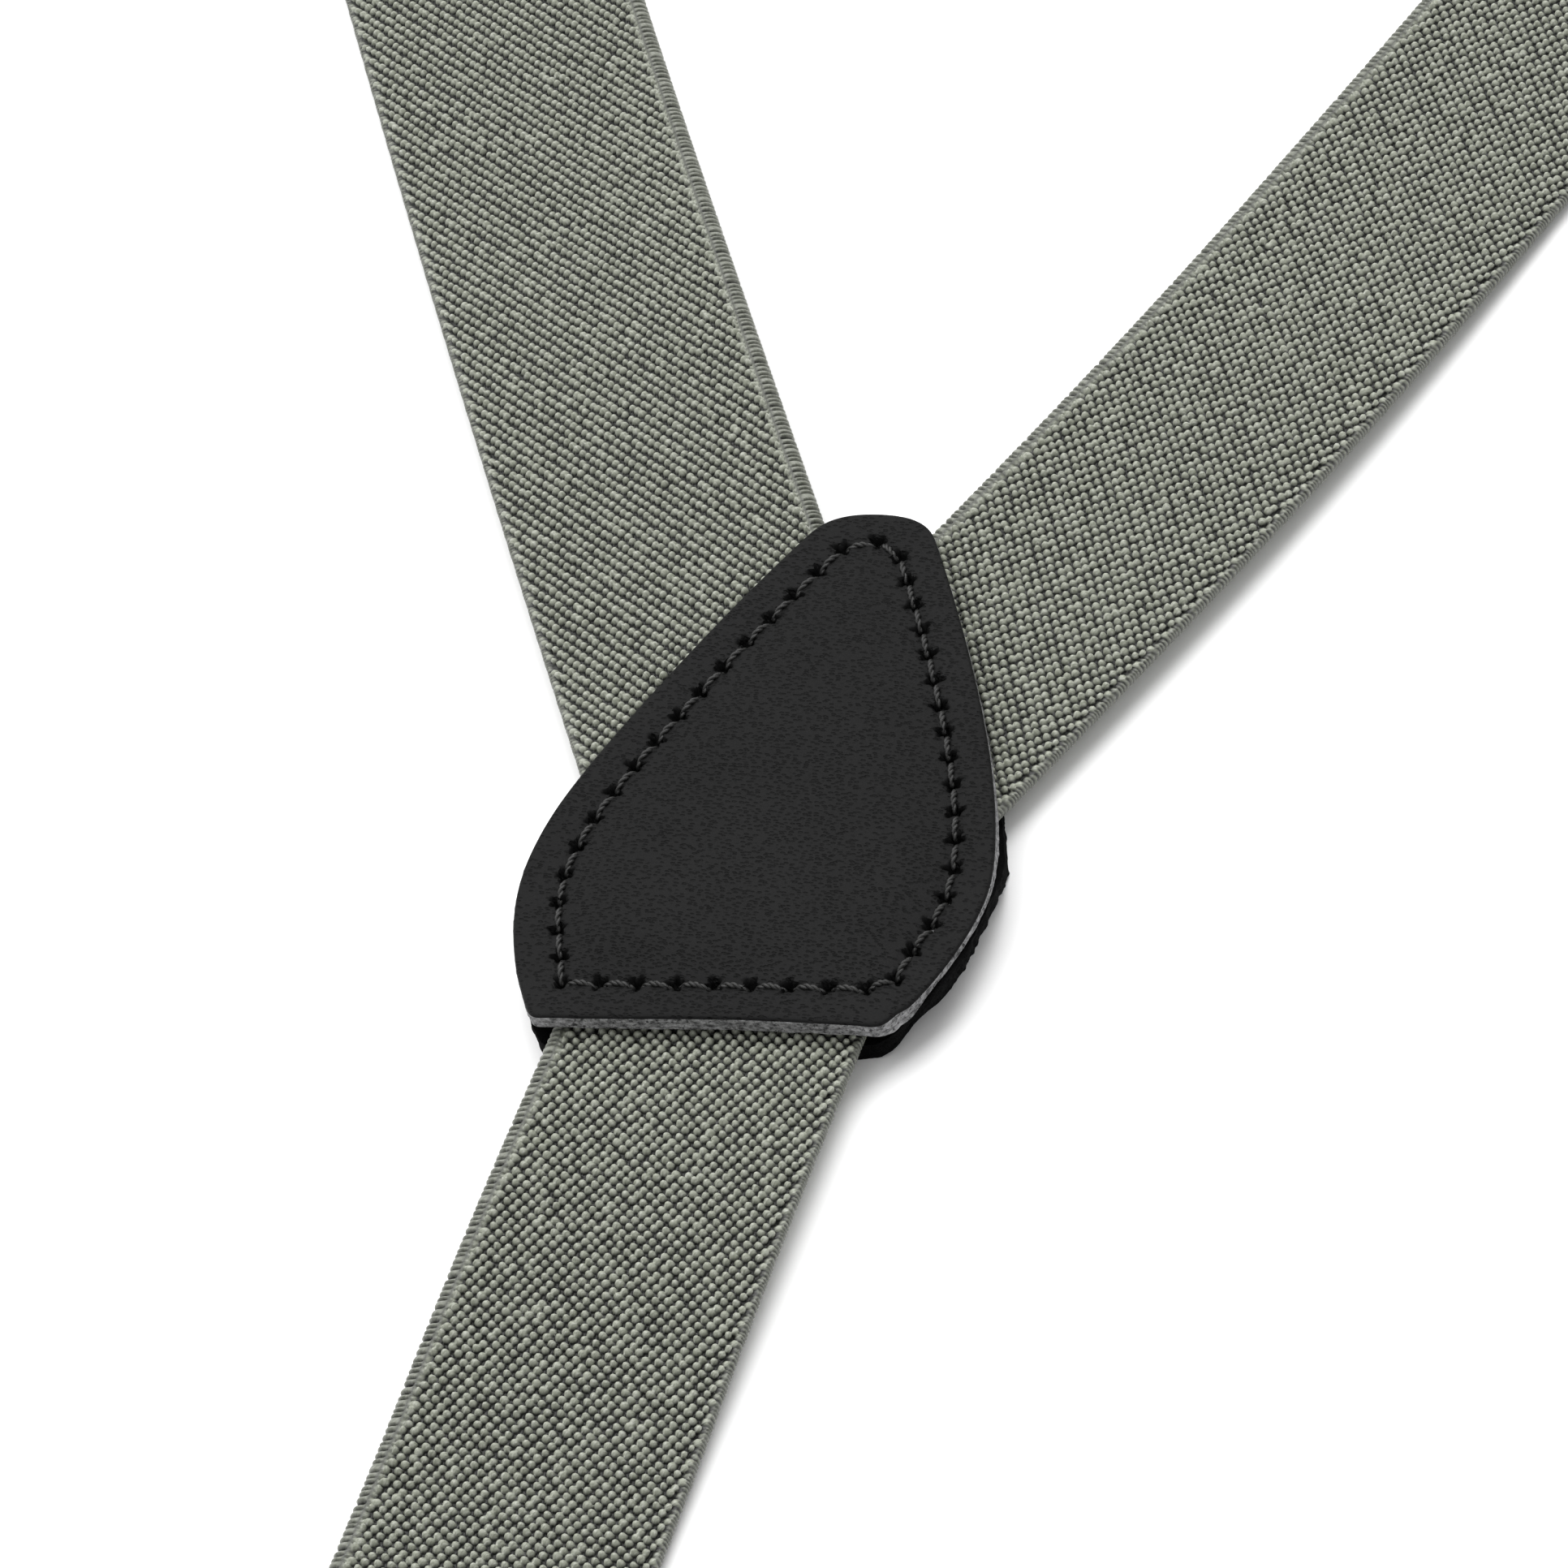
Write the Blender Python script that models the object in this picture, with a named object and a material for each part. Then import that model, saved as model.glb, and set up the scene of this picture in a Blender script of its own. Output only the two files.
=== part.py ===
"""Y-back elastic suspenders: leather back patch, two slide adjusters and three lever clips.

Shapes are worked out in millimetres and become meshes in metres. The suspenders lie on
z = 0 with their outer side up; +Y runs from the back clip towards the patch. Each front
strap leaves the patch, turns over on its edge at the shoulder and comes back down.
"""
import math

import bmesh
import bpy
from mathutils import Matrix, Vector

MM = 0.001

# Webbing
WIDTH = 25.0
THICK = 1.8
GAP = 0.3                       # clearance between pieces that touch
FLOOR_LEVEL = 1.0               # middle of a strap that lies on the surface
PATCH_LEVEL = 2.7               # middle of the straps between the two patches
ADJUSTER_LEVEL = 6.5            # middle of the strap that runs through an adjuster

# Patch: half widths and heights from the patch's own centre
PATCH_AT = (14.275, -52.376)
TIP_Y = 30.0
TIP_SIDE = (5.2, 27.6)
SHOULDER = (19.0, -10.0)
CORNER = (14.0, -26.4)
BACKING_THICK = 1.5
LEATHER_THICK = 1.6
LEATHER_BOTTOM = 3.9
SEAM_INSET = 3.0
SEAM_BOTTOM_INSET = 4.5
THREAD_RADIUS = 0.35

# Straps, seen from above: starts from the patch's centre, headings in degrees from +X.
# A front strap is its side (1 is left), start, heading, (length, turn) of its bends near the
# patch, and the straight runs before and after the shoulder.
FRONTS = {
    "left": (1, (0.0, -6.0), 117.9, ((38, -0.5), (40, -0.5), (40, -0.5)), 105, 128),
    "right": (-1, (0.81, -5.72), 64.3, ((38, 1.4), (40, 5.0), (40, -1.0)), 100, 140),
}
BACK_START = (0.7, -5.2)
BACK_HEADING = -93.3
DOWN = -90.0
STRAP_END_LINE = -4.5           # where front straps stop and the back strap starts
SHOULDER_RADIUS = 42.0
SHOULDER_TWIST = 100.0          # length of each quarter twist
ADJUSTER_RUN = 75.0             # from an adjuster down to its ring
ADJUSTER_LEAD = 40.0            # level stretch above an adjuster

# Strap ring and clip, heights above the surface, y from the ring's lower bar
WIRE = 1.3
RING_HALF = 14.8
RING_DEPTH = 9.0
RING_CORNER = 2.5
BAR_Z = 3.5
SHEET = 1.0
BODY_HALF = 10.4
WALL_IN = 9.1
WALL_OUT = 10.1
CURL_HALF = 8.0
MOUTH_Y = -41.0
JAW_PIN = (-8.0, 4.7)
LEVER_PIN = (-27.0, 9.0)
PIN_RADIUS = 0.9
HOLE_RADIUS = 1.2
JAW_HALF = 8.8
JAW_BOTTOM = 4.2
CAM_SHUT = 3.45
CAM_OPEN = 1.7
LEVER_SWING = 95.0
LEVER_BOTTOM = 10.2
PAD_HALF = 8.2
PAD_TEETH = 6

# Adjuster, y from its own middle
FRAME_IN = 13.2
FRAME_OUT = 14.4
LOOP_BAR = (-8.0, -5.0)
GRIP_BAR = (2.0, 7.0)
TONGUE_PIN = (3.5, 9.4)
TONGUE_HALF = 12.6
TONGUE_BARREL = 1.8
TURN_AT_BAR = 1.7               # strap's middle round the adjuster's flat bar
TURN_AT_RING = WIRE + GAP + THICK / 2

LEATHER = ("leather", (0.022, 0.022, 0.022, 1), 0.55, 0.0)
BACKING = ("backing", (0.01, 0.01, 0.01, 1), 0.9, 0.0)
THREAD = ("thread", (0.015, 0.015, 0.015, 1), 0.5, 0.0)
WEBBING = ("webbing", (0.27, 0.28, 0.22, 1), 0.75, 0.0)
STEEL = ("nickel_steel", (0.62, 0.61, 0.58, 1), 0.25, 1.0)
GRIP = ("grip_plastic", (0.02, 0.02, 0.02, 1), 0.6, 0.0)


def clear_scene():
    for thing in list(bpy.data.objects):
        bpy.data.objects.remove(thing, do_unlink=True)


def material(kind):
    name, colour, roughness, metallic = kind
    found = bpy.data.materials.get(name)
    if found:
        return found
    made = bpy.data.materials.new(name)
    made.use_nodes = True
    shader = made.node_tree.nodes["Principled BSDF"]
    shader.inputs["Base Color"].default_value = colour
    shader.inputs["Roughness"].default_value = roughness
    shader.inputs["Metallic"].default_value = metallic
    return made


# ---------------------------------------------------------------- solids

def loft(rings, closed=False):
    """A solid through rings of equally many points, capped unless it closes on itself."""
    shape = bmesh.new()
    rows = [[shape.verts.new(point) for point in ring] for ring in rings]
    pairs = list(zip(rows, rows[1:]))
    if closed:
        pairs.append((rows[-1], rows[0]))
    else:
        shape.faces.new(rows[0])
        shape.faces.new(rows[-1])
    size = len(rows[0])
    for low, high in pairs:
        for i in range(size):
            j = (i + 1) % size
            shape.faces.new((low[i], low[j], high[j], high[i]))
    bmesh.ops.recalc_face_normals(shape, faces=shape.faces)
    return shape


def prism(outline, low, high):
    """The (y, z) outline carried from x = low to x = high."""
    return loft([[(x, y, z) for y, z in outline] for x in (low, high)])


def plate(outline, low, high):
    """The (x, y) outline carried from z = low to z = high."""
    return loft([[(x, y, z) for x, y in outline] for z in (low, high)])


def block(x0, x1, y0, y1, z0, z1):
    return prism([(y0, z0), (y1, z0), (y1, z1), (y0, z1)], x0, x1)


def arc(centre, radius, first, last, steps):
    """Points on an arc, angles in degrees from the first axis."""
    points = []
    for i in range(steps + 1):
        angle = math.radians(first + (last - first) * i / steps)
        points.append((centre[0] + radius * math.cos(angle), centre[1] + radius * math.sin(angle)))
    return points


def rod(stations, centre, sides=16):
    """A turned piece along X: (x, radius) stations round the (y, z) centre."""
    rings = []
    for x, radius in stations:
        circle = arc(centre, radius, 0, 360, sides)[:-1]
        rings.append([(x, y, z) for y, z in circle])
    return loft(rings)


def rivet(half, centre, radius=PIN_RADIUS):
    """A pin with a low head outside each wall at x = half."""
    head = radius + 0.75
    side = [(half + 1.0, head - 0.35), (half + 0.8, head), (half + GAP, head), (half + GAP, radius)]
    mirrored = [(-x, r) for x, r in side]
    return rod(mirrored + side[::-1], centre)


def helper(shape):
    data = bpy.data.meshes.new("helper")
    shape.to_mesh(data)
    shape.free()
    thing = bpy.data.objects.new("helper", data)
    bpy.context.collection.objects.link(thing)
    thing.hide_render = True
    thing.display_type = "WIRE"
    return thing


def fused(solids, cuts=()):
    """One solid: the first joined with the rest, then cut by each of the cuts."""
    body = helper(solids[0])
    tools = []
    for operation, shapes in (("UNION", solids[1:]), ("DIFFERENCE", cuts)):
        for shape in shapes:
            tool = helper(shape)
            tools.append(tool)
            step = body.modifiers.new("join", "BOOLEAN")
            step.operation = operation
            step.object = tool
    graph = bpy.context.evaluated_depsgraph_get()
    result = bmesh.new()
    result.from_object(body, graph)
    for thing in tools + [body]:
        bpy.data.objects.remove(thing, do_unlink=True)
    return result


def mesh_of(shape, pivot=(0, 0, 0)):
    """The shape as a mesh in metres whose origin is the pivot."""
    bmesh.ops.translate(shape, vec=-Vector(pivot), verts=shape.verts)
    bmesh.ops.scale(shape, vec=(MM, MM, MM), verts=shape.verts)
    data = bpy.data.meshes.new("shape")
    shape.to_mesh(data)
    shape.free()
    data.shade_smooth()
    data.set_sharp_from_angle(angle=math.radians(35))
    return data


def node(name, data, kind, parent=None, at=(0, 0, 0)):
    """A named sub-part; at is its origin, in millimetres from its parent."""
    piece = bpy.data.objects.new(name, data)
    bpy.context.collection.objects.link(piece)
    piece.parent = parent
    piece.location = Vector(at) * MM
    if not data.materials:
        data.materials.append(material(kind))
    return piece


def empty(name, at):
    """The frame that a group of pieces hangs on."""
    group = bpy.data.objects.new(name, None)
    bpy.context.collection.objects.link(group)
    group.location = Vector(at) * MM
    return group


# ---------------------------------------------------------------- straps

def move(length, turn=0.0, roll=0.0, dive=0.0):
    """One stretch of webbing: turn about the vertical, twist, and bend across its face."""
    return length, turn, roll, dive


def climb(height, length):
    """An S-bend that gains height and ends level again."""
    slope = 2 * height / length
    for _ in range(6):
        slope = height * slope ** 2 / (length * (1 - math.cos(slope)))
    angle = math.degrees(slope)
    return [move(length / 2, dive=-angle), move(length / 2, dive=angle)]


def eased(t):
    return t * t * (3 - 2 * t)


def follow(start, heading, moves):
    """Frames along a strap; each is its middle and a matrix of along, across and out."""
    place = Vector(start)
    pose = Matrix.Rotation(math.radians(heading), 3, "Z")
    frames = [(place.copy(), pose.copy())]
    for length, turn, roll, dive in moves:
        steps = max(1, math.ceil(max(abs(turn) * 2, abs(roll) * 1.8, abs(dive)) / 13))
        bend = math.radians(math.hypot(turn, dive)) / steps
        chord = length / steps * (math.sin(bend / 2) / (bend / 2) if bend > 1e-6 else 1.0)
        yaw = Matrix.Rotation(math.radians(turn) / steps / 2, 3, "Z")
        pitch = Matrix.Rotation(math.radians(dive) / steps / 2, 3, "Y")
        for step in range(steps):
            part = eased((step + 1) / steps) - eased(step / steps)
            half = pitch @ Matrix.Rotation(math.radians(roll) * part / 2, 3, "X")
            pose = yaw @ pose @ half
            place = place + pose.col[0] * chord
            pose = yaw @ pose @ half
            frames.append((place.copy(), pose.copy()))
    return frames


def lifted(frames):
    """Raise a strap where it stands on its edge, so that the edge stays on the surface."""
    raised = []
    for place, pose in frames:
        tilt = min(1.0, abs(pose.col[1].z))
        lift = WIDTH / 2 * tilt + THICK / 2 * (math.sqrt(1 - tilt * tilt) - 1)
        raised.append((place + Vector((0, 0, lift)), pose))
    return raised


def webbing(frames):
    corners = ((-1, -1), (1, -1), (1, 1), (-1, 1))
    rings = []
    for place, pose in lifted(frames):
        across = pose.col[1] * (WIDTH / 2)
        out = pose.col[2] * (THICK / 2)
        rings.append([place + across * i + out * j for i, j in corners])
    return loft(rings)


def shoulder(side, heading):
    """Onto its edge, round the shoulder and flat again, heading straight down."""
    swing = (270 - heading) if side > 0 else (heading + 90)
    length = math.radians(swing) * SHOULDER_RADIUS
    return [move(SHOULDER_TWIST, roll=90 * side), move(length, dive=swing),
            move(SHOULDER_TWIST, roll=-90 * side)]


def from_patch(start):
    return (start[0] + PATCH_AT[0], start[1] + PATCH_AT[1], PATCH_LEVEL)


def front_strap(side, start, heading, bends, run, leg):
    """Frames of a front strap from the patch to the middle of its adjuster."""
    sink = climb(FLOOR_LEVEL - PATCH_LEVEL, bends[1][0] + bends[2][0])
    moves = [move(bends[0][0], turn=bends[0][1])]
    for (length, turn), (_, _, _, dive) in zip(bends[1:], sink):
        moves.append(move(length, turn=turn, dive=dive))
    moves += [move(run)] + shoulder(side, heading + sum(turn for _, turn in bends))
    moves += [move(leg)] + climb(ADJUSTER_LEVEL - FLOOR_LEVEL, 60) + [move(ADJUSTER_LEAD)]
    return follow(from_patch(start), heading, moves)


def ring_turn():
    return move(math.pi * TURN_AT_RING, dive=180)


def strap_loop(top):
    """Frames of the doubled webbing: adjuster, ring, back to the adjuster's bar, sewn end."""
    over_ring = FLOOR_LEVEL + 2 * TURN_AT_RING
    over_bar = FLOOR_LEVEL + 2 * TURN_AT_BAR
    sewn = FLOOR_LEVEL + THICK + GAP
    moves = [move(ADJUSTER_RUN - 20)] + climb(over_ring - ADJUSTER_LEVEL, 20)
    moves += [ring_turn(), move(ADJUSTER_RUN + LOOP_BAR[1])]
    moves += [move(math.pi * TURN_AT_BAR, dive=180), move(4)] + climb(sewn - over_bar, 8)
    return follow(top, DOWN, moves + [move(10)])


def back_strap():
    """Frames of the back strap from the patch round the ring to its sewn end."""
    over_ring = FLOOR_LEVEL + 2 * TURN_AT_RING
    doubled = FLOOR_LEVEL + THICK + GAP
    moves = [move(30)] + climb(FLOOR_LEVEL - PATCH_LEVEL, 50)
    moves += [move(24, turn=DOWN - BACK_HEADING)] + climb(doubled - FLOOR_LEVEL, 30)
    moves += [move(10)] + climb(over_ring - doubled, 14) + [move(2), ring_turn(), move(25)]
    return follow(from_patch(BACK_START), BACK_HEADING, moves)


def turn_centre(frames, radius):
    """The bar's axis of the first half-turn of that radius in a strap."""
    for (a, pose_a), (b, _) in zip(frames, frames[1:]):
        if abs(pose_a.col[2].z - 1) < 1e-4 and b.z < a.z - 0.05 and (b - a).length < radius:
            return a - pose_a.col[2] * radius
    raise ValueError("no half-turn in this strap")


# ---------------------------------------------------------------- patch

def bezier(a, b, c, d, steps):
    points = []
    for i in range(1, steps + 1):
        t = i / steps
        u = 1 - t
        points.append(tuple(u ** 3 * a[k] + 3 * u * u * t * b[k] + 3 * u * t * t * c[k]
                            + t ** 3 * d[k] for k in (0, 1)))
    return points


def patch_half():
    """The right half of the outline, from the tip to the bottom corner."""
    tip = [(0.0, TIP_Y)] + bezier((0, TIP_Y), (2.6, TIP_Y), (4.2, 29.4), TIP_SIDE, 4)
    side = bezier(TIP_SIDE, (10.2, 17.4), (SHOULDER[0], 0.5), SHOULDER, 8)
    waist = bezier(SHOULDER, (SHOULDER[0], -16.0), (16.2, -21.6), CORNER, 5)
    return tip + side + waist


def inset_half(inset, bottom):
    """The half outline moved inwards, ending in a corner on the line y = bottom."""
    half = patch_half()
    moved = [(0.0, TIP_Y - inset)]
    for before, here, after in zip(half, half[1:], half[2:]):
        along = Vector(after) - Vector(before)
        normal = Vector((along.y, -along.x)).normalized()
        point = Vector(here) + normal * inset
        if point.x > 0.5 and point.y > bottom + 0.5:
            moved.append((point.x, point.y))
    last, previous = Vector(moved[-1]), Vector(moved[-2])
    slope = (last - previous) / (last.y - previous.y)
    corner = last + slope * (bottom - last.y)
    return moved + [(corner.x, bottom)]


def mirrored(half):
    left = [(-x, y) for x, y in half[::-1] if x > 0]
    return [(x + PATCH_AT[0], y + PATCH_AT[1]) for x, y in half + left]


def tube(path, radius, sides=8):
    """A closed ring of thread or wire along a flat closed path at z = path[i][2]."""
    rings = []
    count = len(path)
    for i in range(count):
        along = (Vector(path[(i + 1) % count]) - Vector(path[i - 1])).normalized()
        across = Vector((0, 0, 1)).cross(along)
        ring = []
        for x, z in arc((0, 0), radius, 0, 360, sides)[:-1]:
            ring.append(Vector(path[i]) + across * x + Vector((0, 0, z)))
        rings.append(ring)
    return loft(rings, closed=True)


def make_patch():
    outline = mirrored(patch_half())
    node("patch_backing", mesh_of(plate(outline, 0, BACKING_THICK)), BACKING)
    top = LEATHER_BOTTOM + LEATHER_THICK
    node("patch_outer", mesh_of(plate(outline, LEATHER_BOTTOM, top)), LEATHER)
    seam = mirrored(inset_half(SEAM_INSET, CORNER[1] + SEAM_BOTTOM_INSET))
    level = top + THREAD_RADIUS + 0.05
    path = [(x, y, level) for x, y in seam]
    node("patch_thread", mesh_of(tube(path, THREAD_RADIUS)), THREAD)


def make_straps():
    """The three straps and the two adjustable loops; returns where their hardware sits."""
    x, y = PATCH_AT
    end = y + STRAP_END_LINE
    places = {}
    for name, front in FRONTS.items():
        side = front[0]
        frames = front_strap(*front)
        inner = sorted((x - side * 0.15, x + side * 60))
        middle = block(*inner, y - 60, y + 60, -5, 12)
        lower = block(x - 40, x + 40, y - 60, end + 0.15, -5, 12)
        strap = fused([webbing(frames)], [middle, lower])
        node("front_strap_" + name, mesh_of(strap), WEBBING)
        place = frames[-1][0]
        top = place + Vector((0, -GAP, 0))
        loop = strap_loop(top)
        node("strap_loop_" + name, mesh_of(webbing(loop)), WEBBING)
        places["adjuster_" + name] = Vector((top.x, top.y, 0))
        places[name] = turn_centre(loop, TURN_AT_RING)
    frames = back_strap()
    node("back_strap", mesh_of(webbing(frames)), WEBBING)
    places["back"] = turn_centre(frames, TURN_AT_RING)
    return places


def bar_tack(name, at):
    """The thread block that closes a strap loop."""
    shape = block(-10.0, 10.0, -1.2, 1.2, 0, 0.5)
    bmesh.ops.bevel(shape, geom=shape.edges[:], offset=0.15, segments=1, affect="EDGES")
    node("bar_tack_" + name, mesh_of(shape), THREAD, at=at)


# ---------------------------------------------------------------- clip

def body_shape():
    """Rear jaw: base plate, rear lip, curl round the ring's bar and two walls with ears."""
    inner = WIRE + 0.25
    centre = (0.0, BAR_Z)
    outer_arc = arc(centre, inner + SHEET, -90, 195, 18)
    inner_arc = arc(centre, inner, 195, -90, 18)
    low = BAR_Z - inner - SHEET
    base = [(MOUTH_Y, 0.0), (-5.0, 0.0), (-2.0, low)] + outer_arc + inner_arc
    base += [(-2.0, low + SHEET), (-5.3, SHEET), (MOUTH_Y + SHEET, SHEET),
             (MOUTH_Y + SHEET, 2.3), (MOUTH_Y, 2.3)]
    wall = [(-31.0, 0.5)] + arc(LEVER_PIN, 2.2, 170, 10, 8) + [(-22.5, 3.0), (-13.0, 3.0)]
    wall += arc(JAW_PIN, 2.3, 160, 0, 8) + [(-5.7, 0.5)]
    solids = [prism(base, -BODY_HALF, BODY_HALF)]
    solids += [prism(wall, -WALL_OUT, -WALL_IN), prism(wall, WALL_IN, WALL_OUT)]
    cuts = [block(CURL_HALF, 12, -4.5, 5, -1, 8), block(-12, -CURL_HALF, -4.5, 5, -1, 8)]
    for pin in (JAW_PIN, LEVER_PIN):
        cuts.append(rod([(-12, HOLE_RADIUS), (12, HOLE_RADIUS)], pin))
    return fused(solids, cuts)


def jaw_shape():
    """Front jaw: a plate with a barrel round the jaw pin and a lip at the mouth."""
    top = JAW_BOTTOM + SHEET
    outline = [(MOUTH_Y, 3.2), (MOUTH_Y + SHEET, 3.2), (MOUTH_Y + SHEET, JAW_BOTTOM)]
    outline += arc(JAW_PIN, 1.9, 195.3, 524.7, 18) + [(MOUTH_Y, top)]
    return fused([prism(outline, -JAW_HALF, JAW_HALF)],
                 [rod([(-12, HOLE_RADIUS), (12, HOLE_RADIUS)], JAW_PIN)])


def cam_outline():
    """A cheek of the lever: its radius falls as the lever opens and frees the jaw."""
    y, z = LEVER_PIN
    points = [(y + 6.0, LEVER_BOTTOM + 0.3), (y - CAM_OPEN, LEVER_BOTTOM + 0.3)]
    steps = 12
    for i in range(steps + 1):
        angle = LEVER_SWING * (1 - i / steps)
        radius = CAM_SHUT + (CAM_OPEN - CAM_SHUT) * angle / LEVER_SWING
        turn = math.radians(angle)
        points.append((y - radius * math.sin(turn), z - radius * math.cos(turn)))
    points += arc(LEVER_PIN, CAM_SHUT, -80, -30, 5)
    return points


def lever_shape():
    """Lever: an arched cover with a turned-up free end, and a cam cheek on each side."""
    start = LEVER_PIN[0] - 1.4
    run = 20.0
    under, over = [], []
    steps = 10
    for i in range(steps + 1):
        t = i / steps
        rise = 0.9 * math.sin(math.pi * t) + (1.2 * ((t - 0.85) / 0.15) ** 2 if t > 0.85 else 0)
        under.append((start + run * t, LEVER_BOTTOM + rise))
        over.append((start + run * t, LEVER_BOTTOM + rise + SHEET))
    cover = prism(under + over[::-1], -JAW_HALF, JAW_HALF)
    cheeks = [prism(cam_outline(), 7.4, 8.6), prism(cam_outline(), -8.6, -7.4)]
    return fused([cover] + cheeks, [rod([(-12, HOLE_RADIUS), (12, HOLE_RADIUS)], LEVER_PIN)])


def pad_shape(back, crest, valley):
    """A ribbed grip pad: flat back, ribs across the mouth."""
    first, last = MOUTH_Y + SHEET + GAP, MOUTH_Y + 10.0
    pitch = (last - first) / PAD_TEETH
    face = []
    for i in range(PAD_TEETH):
        face.append((first + pitch * i, valley))
        face.append((first + pitch * (i + 0.5), crest))
    face.append((last, valley))
    return prism(face + [(last, back), (first, back)], -PAD_HALF, PAD_HALF)


def ring_shape():
    """The strap ring: a rounded rectangle of wire, y from its lower bar."""
    x, y = RING_HALF - RING_CORNER, RING_DEPTH - RING_CORNER
    path = arc((x, RING_CORNER), RING_CORNER, -90, 0, 4) + arc((x, y), RING_CORNER, 0, 90, 4)
    path += arc((-x, y), RING_CORNER, 90, 180, 4) + arc((-x, RING_CORNER), RING_CORNER, 180, 270, 4)
    return tube([(px, py, BAR_Z) for px, py in path], WIRE, 12)


def clip_meshes():
    """The meshes that the three clips share, each with its origin on its own axis."""
    ring_axis = (0, RING_DEPTH, BAR_Z)
    hinge = (0, 0, BAR_Z)
    jaw_axis = (0, *JAW_PIN)
    lever_axis = (0, *LEVER_PIN)
    return {
        "ring": (mesh_of(ring_shape(), ring_axis), STEEL, ring_axis),
        "clip_body": (mesh_of(body_shape(), hinge), STEEL, hinge),
        "rear_pad": (mesh_of(pad_shape(SHEET + GAP, 2.55, 2.2), hinge), GRIP, hinge),
        "jaw_pin": (mesh_of(rivet(WALL_OUT, JAW_PIN), jaw_axis), STEEL, jaw_axis),
        "front_jaw": (mesh_of(jaw_shape(), jaw_axis), STEEL, jaw_axis),
        "front_pad": (mesh_of(pad_shape(JAW_BOTTOM - GAP, 2.95, 3.3), jaw_axis), GRIP, jaw_axis),
        "lever_pin": (mesh_of(rivet(WALL_OUT, LEVER_PIN), lever_axis), STEEL, lever_axis),
        "lever": (mesh_of(lever_shape(), lever_axis), STEEL, lever_axis),
    }


def make_clip(name, at, meshes):
    """One ring and clip; at is the middle of the strap's turn round the ring."""
    low = empty("clip_at_" + name, (at.x, at.y - RING_DEPTH, at.z - BAR_Z))
    for kind, (data, paint, pivot) in meshes.items():
        node(kind + "_" + name, data, paint, low, pivot)


# ---------------------------------------------------------------- adjuster

def frame_shape():
    """Adjuster frame: two walls with ears, the loop bar and the grip bar."""
    wall = [(-8.5, 1.0), (-8.5, 4.6)] + arc(TONGUE_PIN, 2.0, 150, -10, 8)
    wall += [(7.5, 5.5), (7.5, 4.0), (2.0, 1.0)]
    solids = [prism(wall, FRAME_IN, FRAME_OUT), prism(wall, -FRAME_OUT, -FRAME_IN)]
    reach = (FRAME_IN + FRAME_OUT) / 2
    level = FLOOR_LEVEL + TURN_AT_BAR
    loop_bar = block(-reach, reach, *LOOP_BAR, level - SHEET / 2, level + SHEET / 2)
    top = ADJUSTER_LEVEL - THICK / 2 - GAP
    grip_bar = block(-reach, reach, *GRIP_BAR, top - SHEET, top)
    hole = rod([(-16, HOLE_RADIUS), (16, HOLE_RADIUS)], TONGUE_PIN)
    return fused([solids[0], loop_bar, grip_bar, solids[1]], [hole])


def tongue_shape():
    """Locking tongue: a barrel on the pin and a flap that lies over the strap."""
    y, z = TONGUE_PIN
    top = z + 0.9
    outline = [(-10.5, 8.3), (-4.0, 8.0)] + arc(TONGUE_PIN, TONGUE_BARREL, 225, 400, 12)
    outline += [(y - 1.0, top), (-4.0, 9.2), (-10.5, 9.3), (-11.6, 9.9), (-12.1, 9.4)]
    return fused([prism(outline, -TONGUE_HALF, TONGUE_HALF)],
                 [rod([(-16, HOLE_RADIUS), (16, HOLE_RADIUS)], TONGUE_PIN)])


def adjuster_meshes():
    axis = (0, *TONGUE_PIN)
    return {
        "adjuster_frame": (mesh_of(frame_shape()), STEEL, (0, 0, 0)),
        "tongue_pin": (mesh_of(rivet(FRAME_OUT, TONGUE_PIN), axis), STEEL, axis),
        "tongue": (mesh_of(tongue_shape(), axis), STEEL, axis),
    }


def make_adjuster(name, at, meshes):
    middle = empty("adjuster_at_" + name, at)
    for kind, (data, paint, pivot) in meshes.items():
        node(kind + "_" + name, data, paint, middle, pivot)


def build():
    clear_scene()
    make_patch()
    places = make_straps()
    clips = clip_meshes()
    adjusters = adjuster_meshes()
    for name in ("left", "right"):
        make_adjuster(name, places["adjuster_" + name], adjusters)
        sewn = places["adjuster_" + name] + Vector((0, LOOP_BAR[0] - 15.0, 0))
        bar_tack(name, (sewn.x, sewn.y, FLOOR_LEVEL + THICK * 1.5 + GAP * 2))
    for name in ("left", "right", "back"):
        make_clip(name, places[name], clips)
    ring = places["back"]
    bar_tack("back", (ring.x, ring.y + 21.0, FLOOR_LEVEL + THICK * 1.5 + GAP * 2))


build()
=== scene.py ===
"""Looks of the Y-back suspenders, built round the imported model.

The straps are woven in real relief: every float of yarn is a bump of the mesh. Their paths
repeat those of the CAD. Lengths are in mm, and become metres when a mesh is made.
"""

import math
from collections import namedtuple

import bmesh
import bpy
import numpy as np
from mathutils import Matrix, Vector, geometry


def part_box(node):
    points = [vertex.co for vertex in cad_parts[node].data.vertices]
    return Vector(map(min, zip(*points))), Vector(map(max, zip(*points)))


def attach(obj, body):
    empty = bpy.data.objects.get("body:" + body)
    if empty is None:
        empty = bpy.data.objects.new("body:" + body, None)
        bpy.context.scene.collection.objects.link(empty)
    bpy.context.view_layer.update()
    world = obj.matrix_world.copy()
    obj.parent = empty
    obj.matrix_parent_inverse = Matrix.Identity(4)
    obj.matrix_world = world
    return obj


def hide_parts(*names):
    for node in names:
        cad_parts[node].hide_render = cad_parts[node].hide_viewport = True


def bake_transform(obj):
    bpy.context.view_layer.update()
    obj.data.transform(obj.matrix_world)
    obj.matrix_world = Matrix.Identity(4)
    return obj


MM = 0.001
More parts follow.
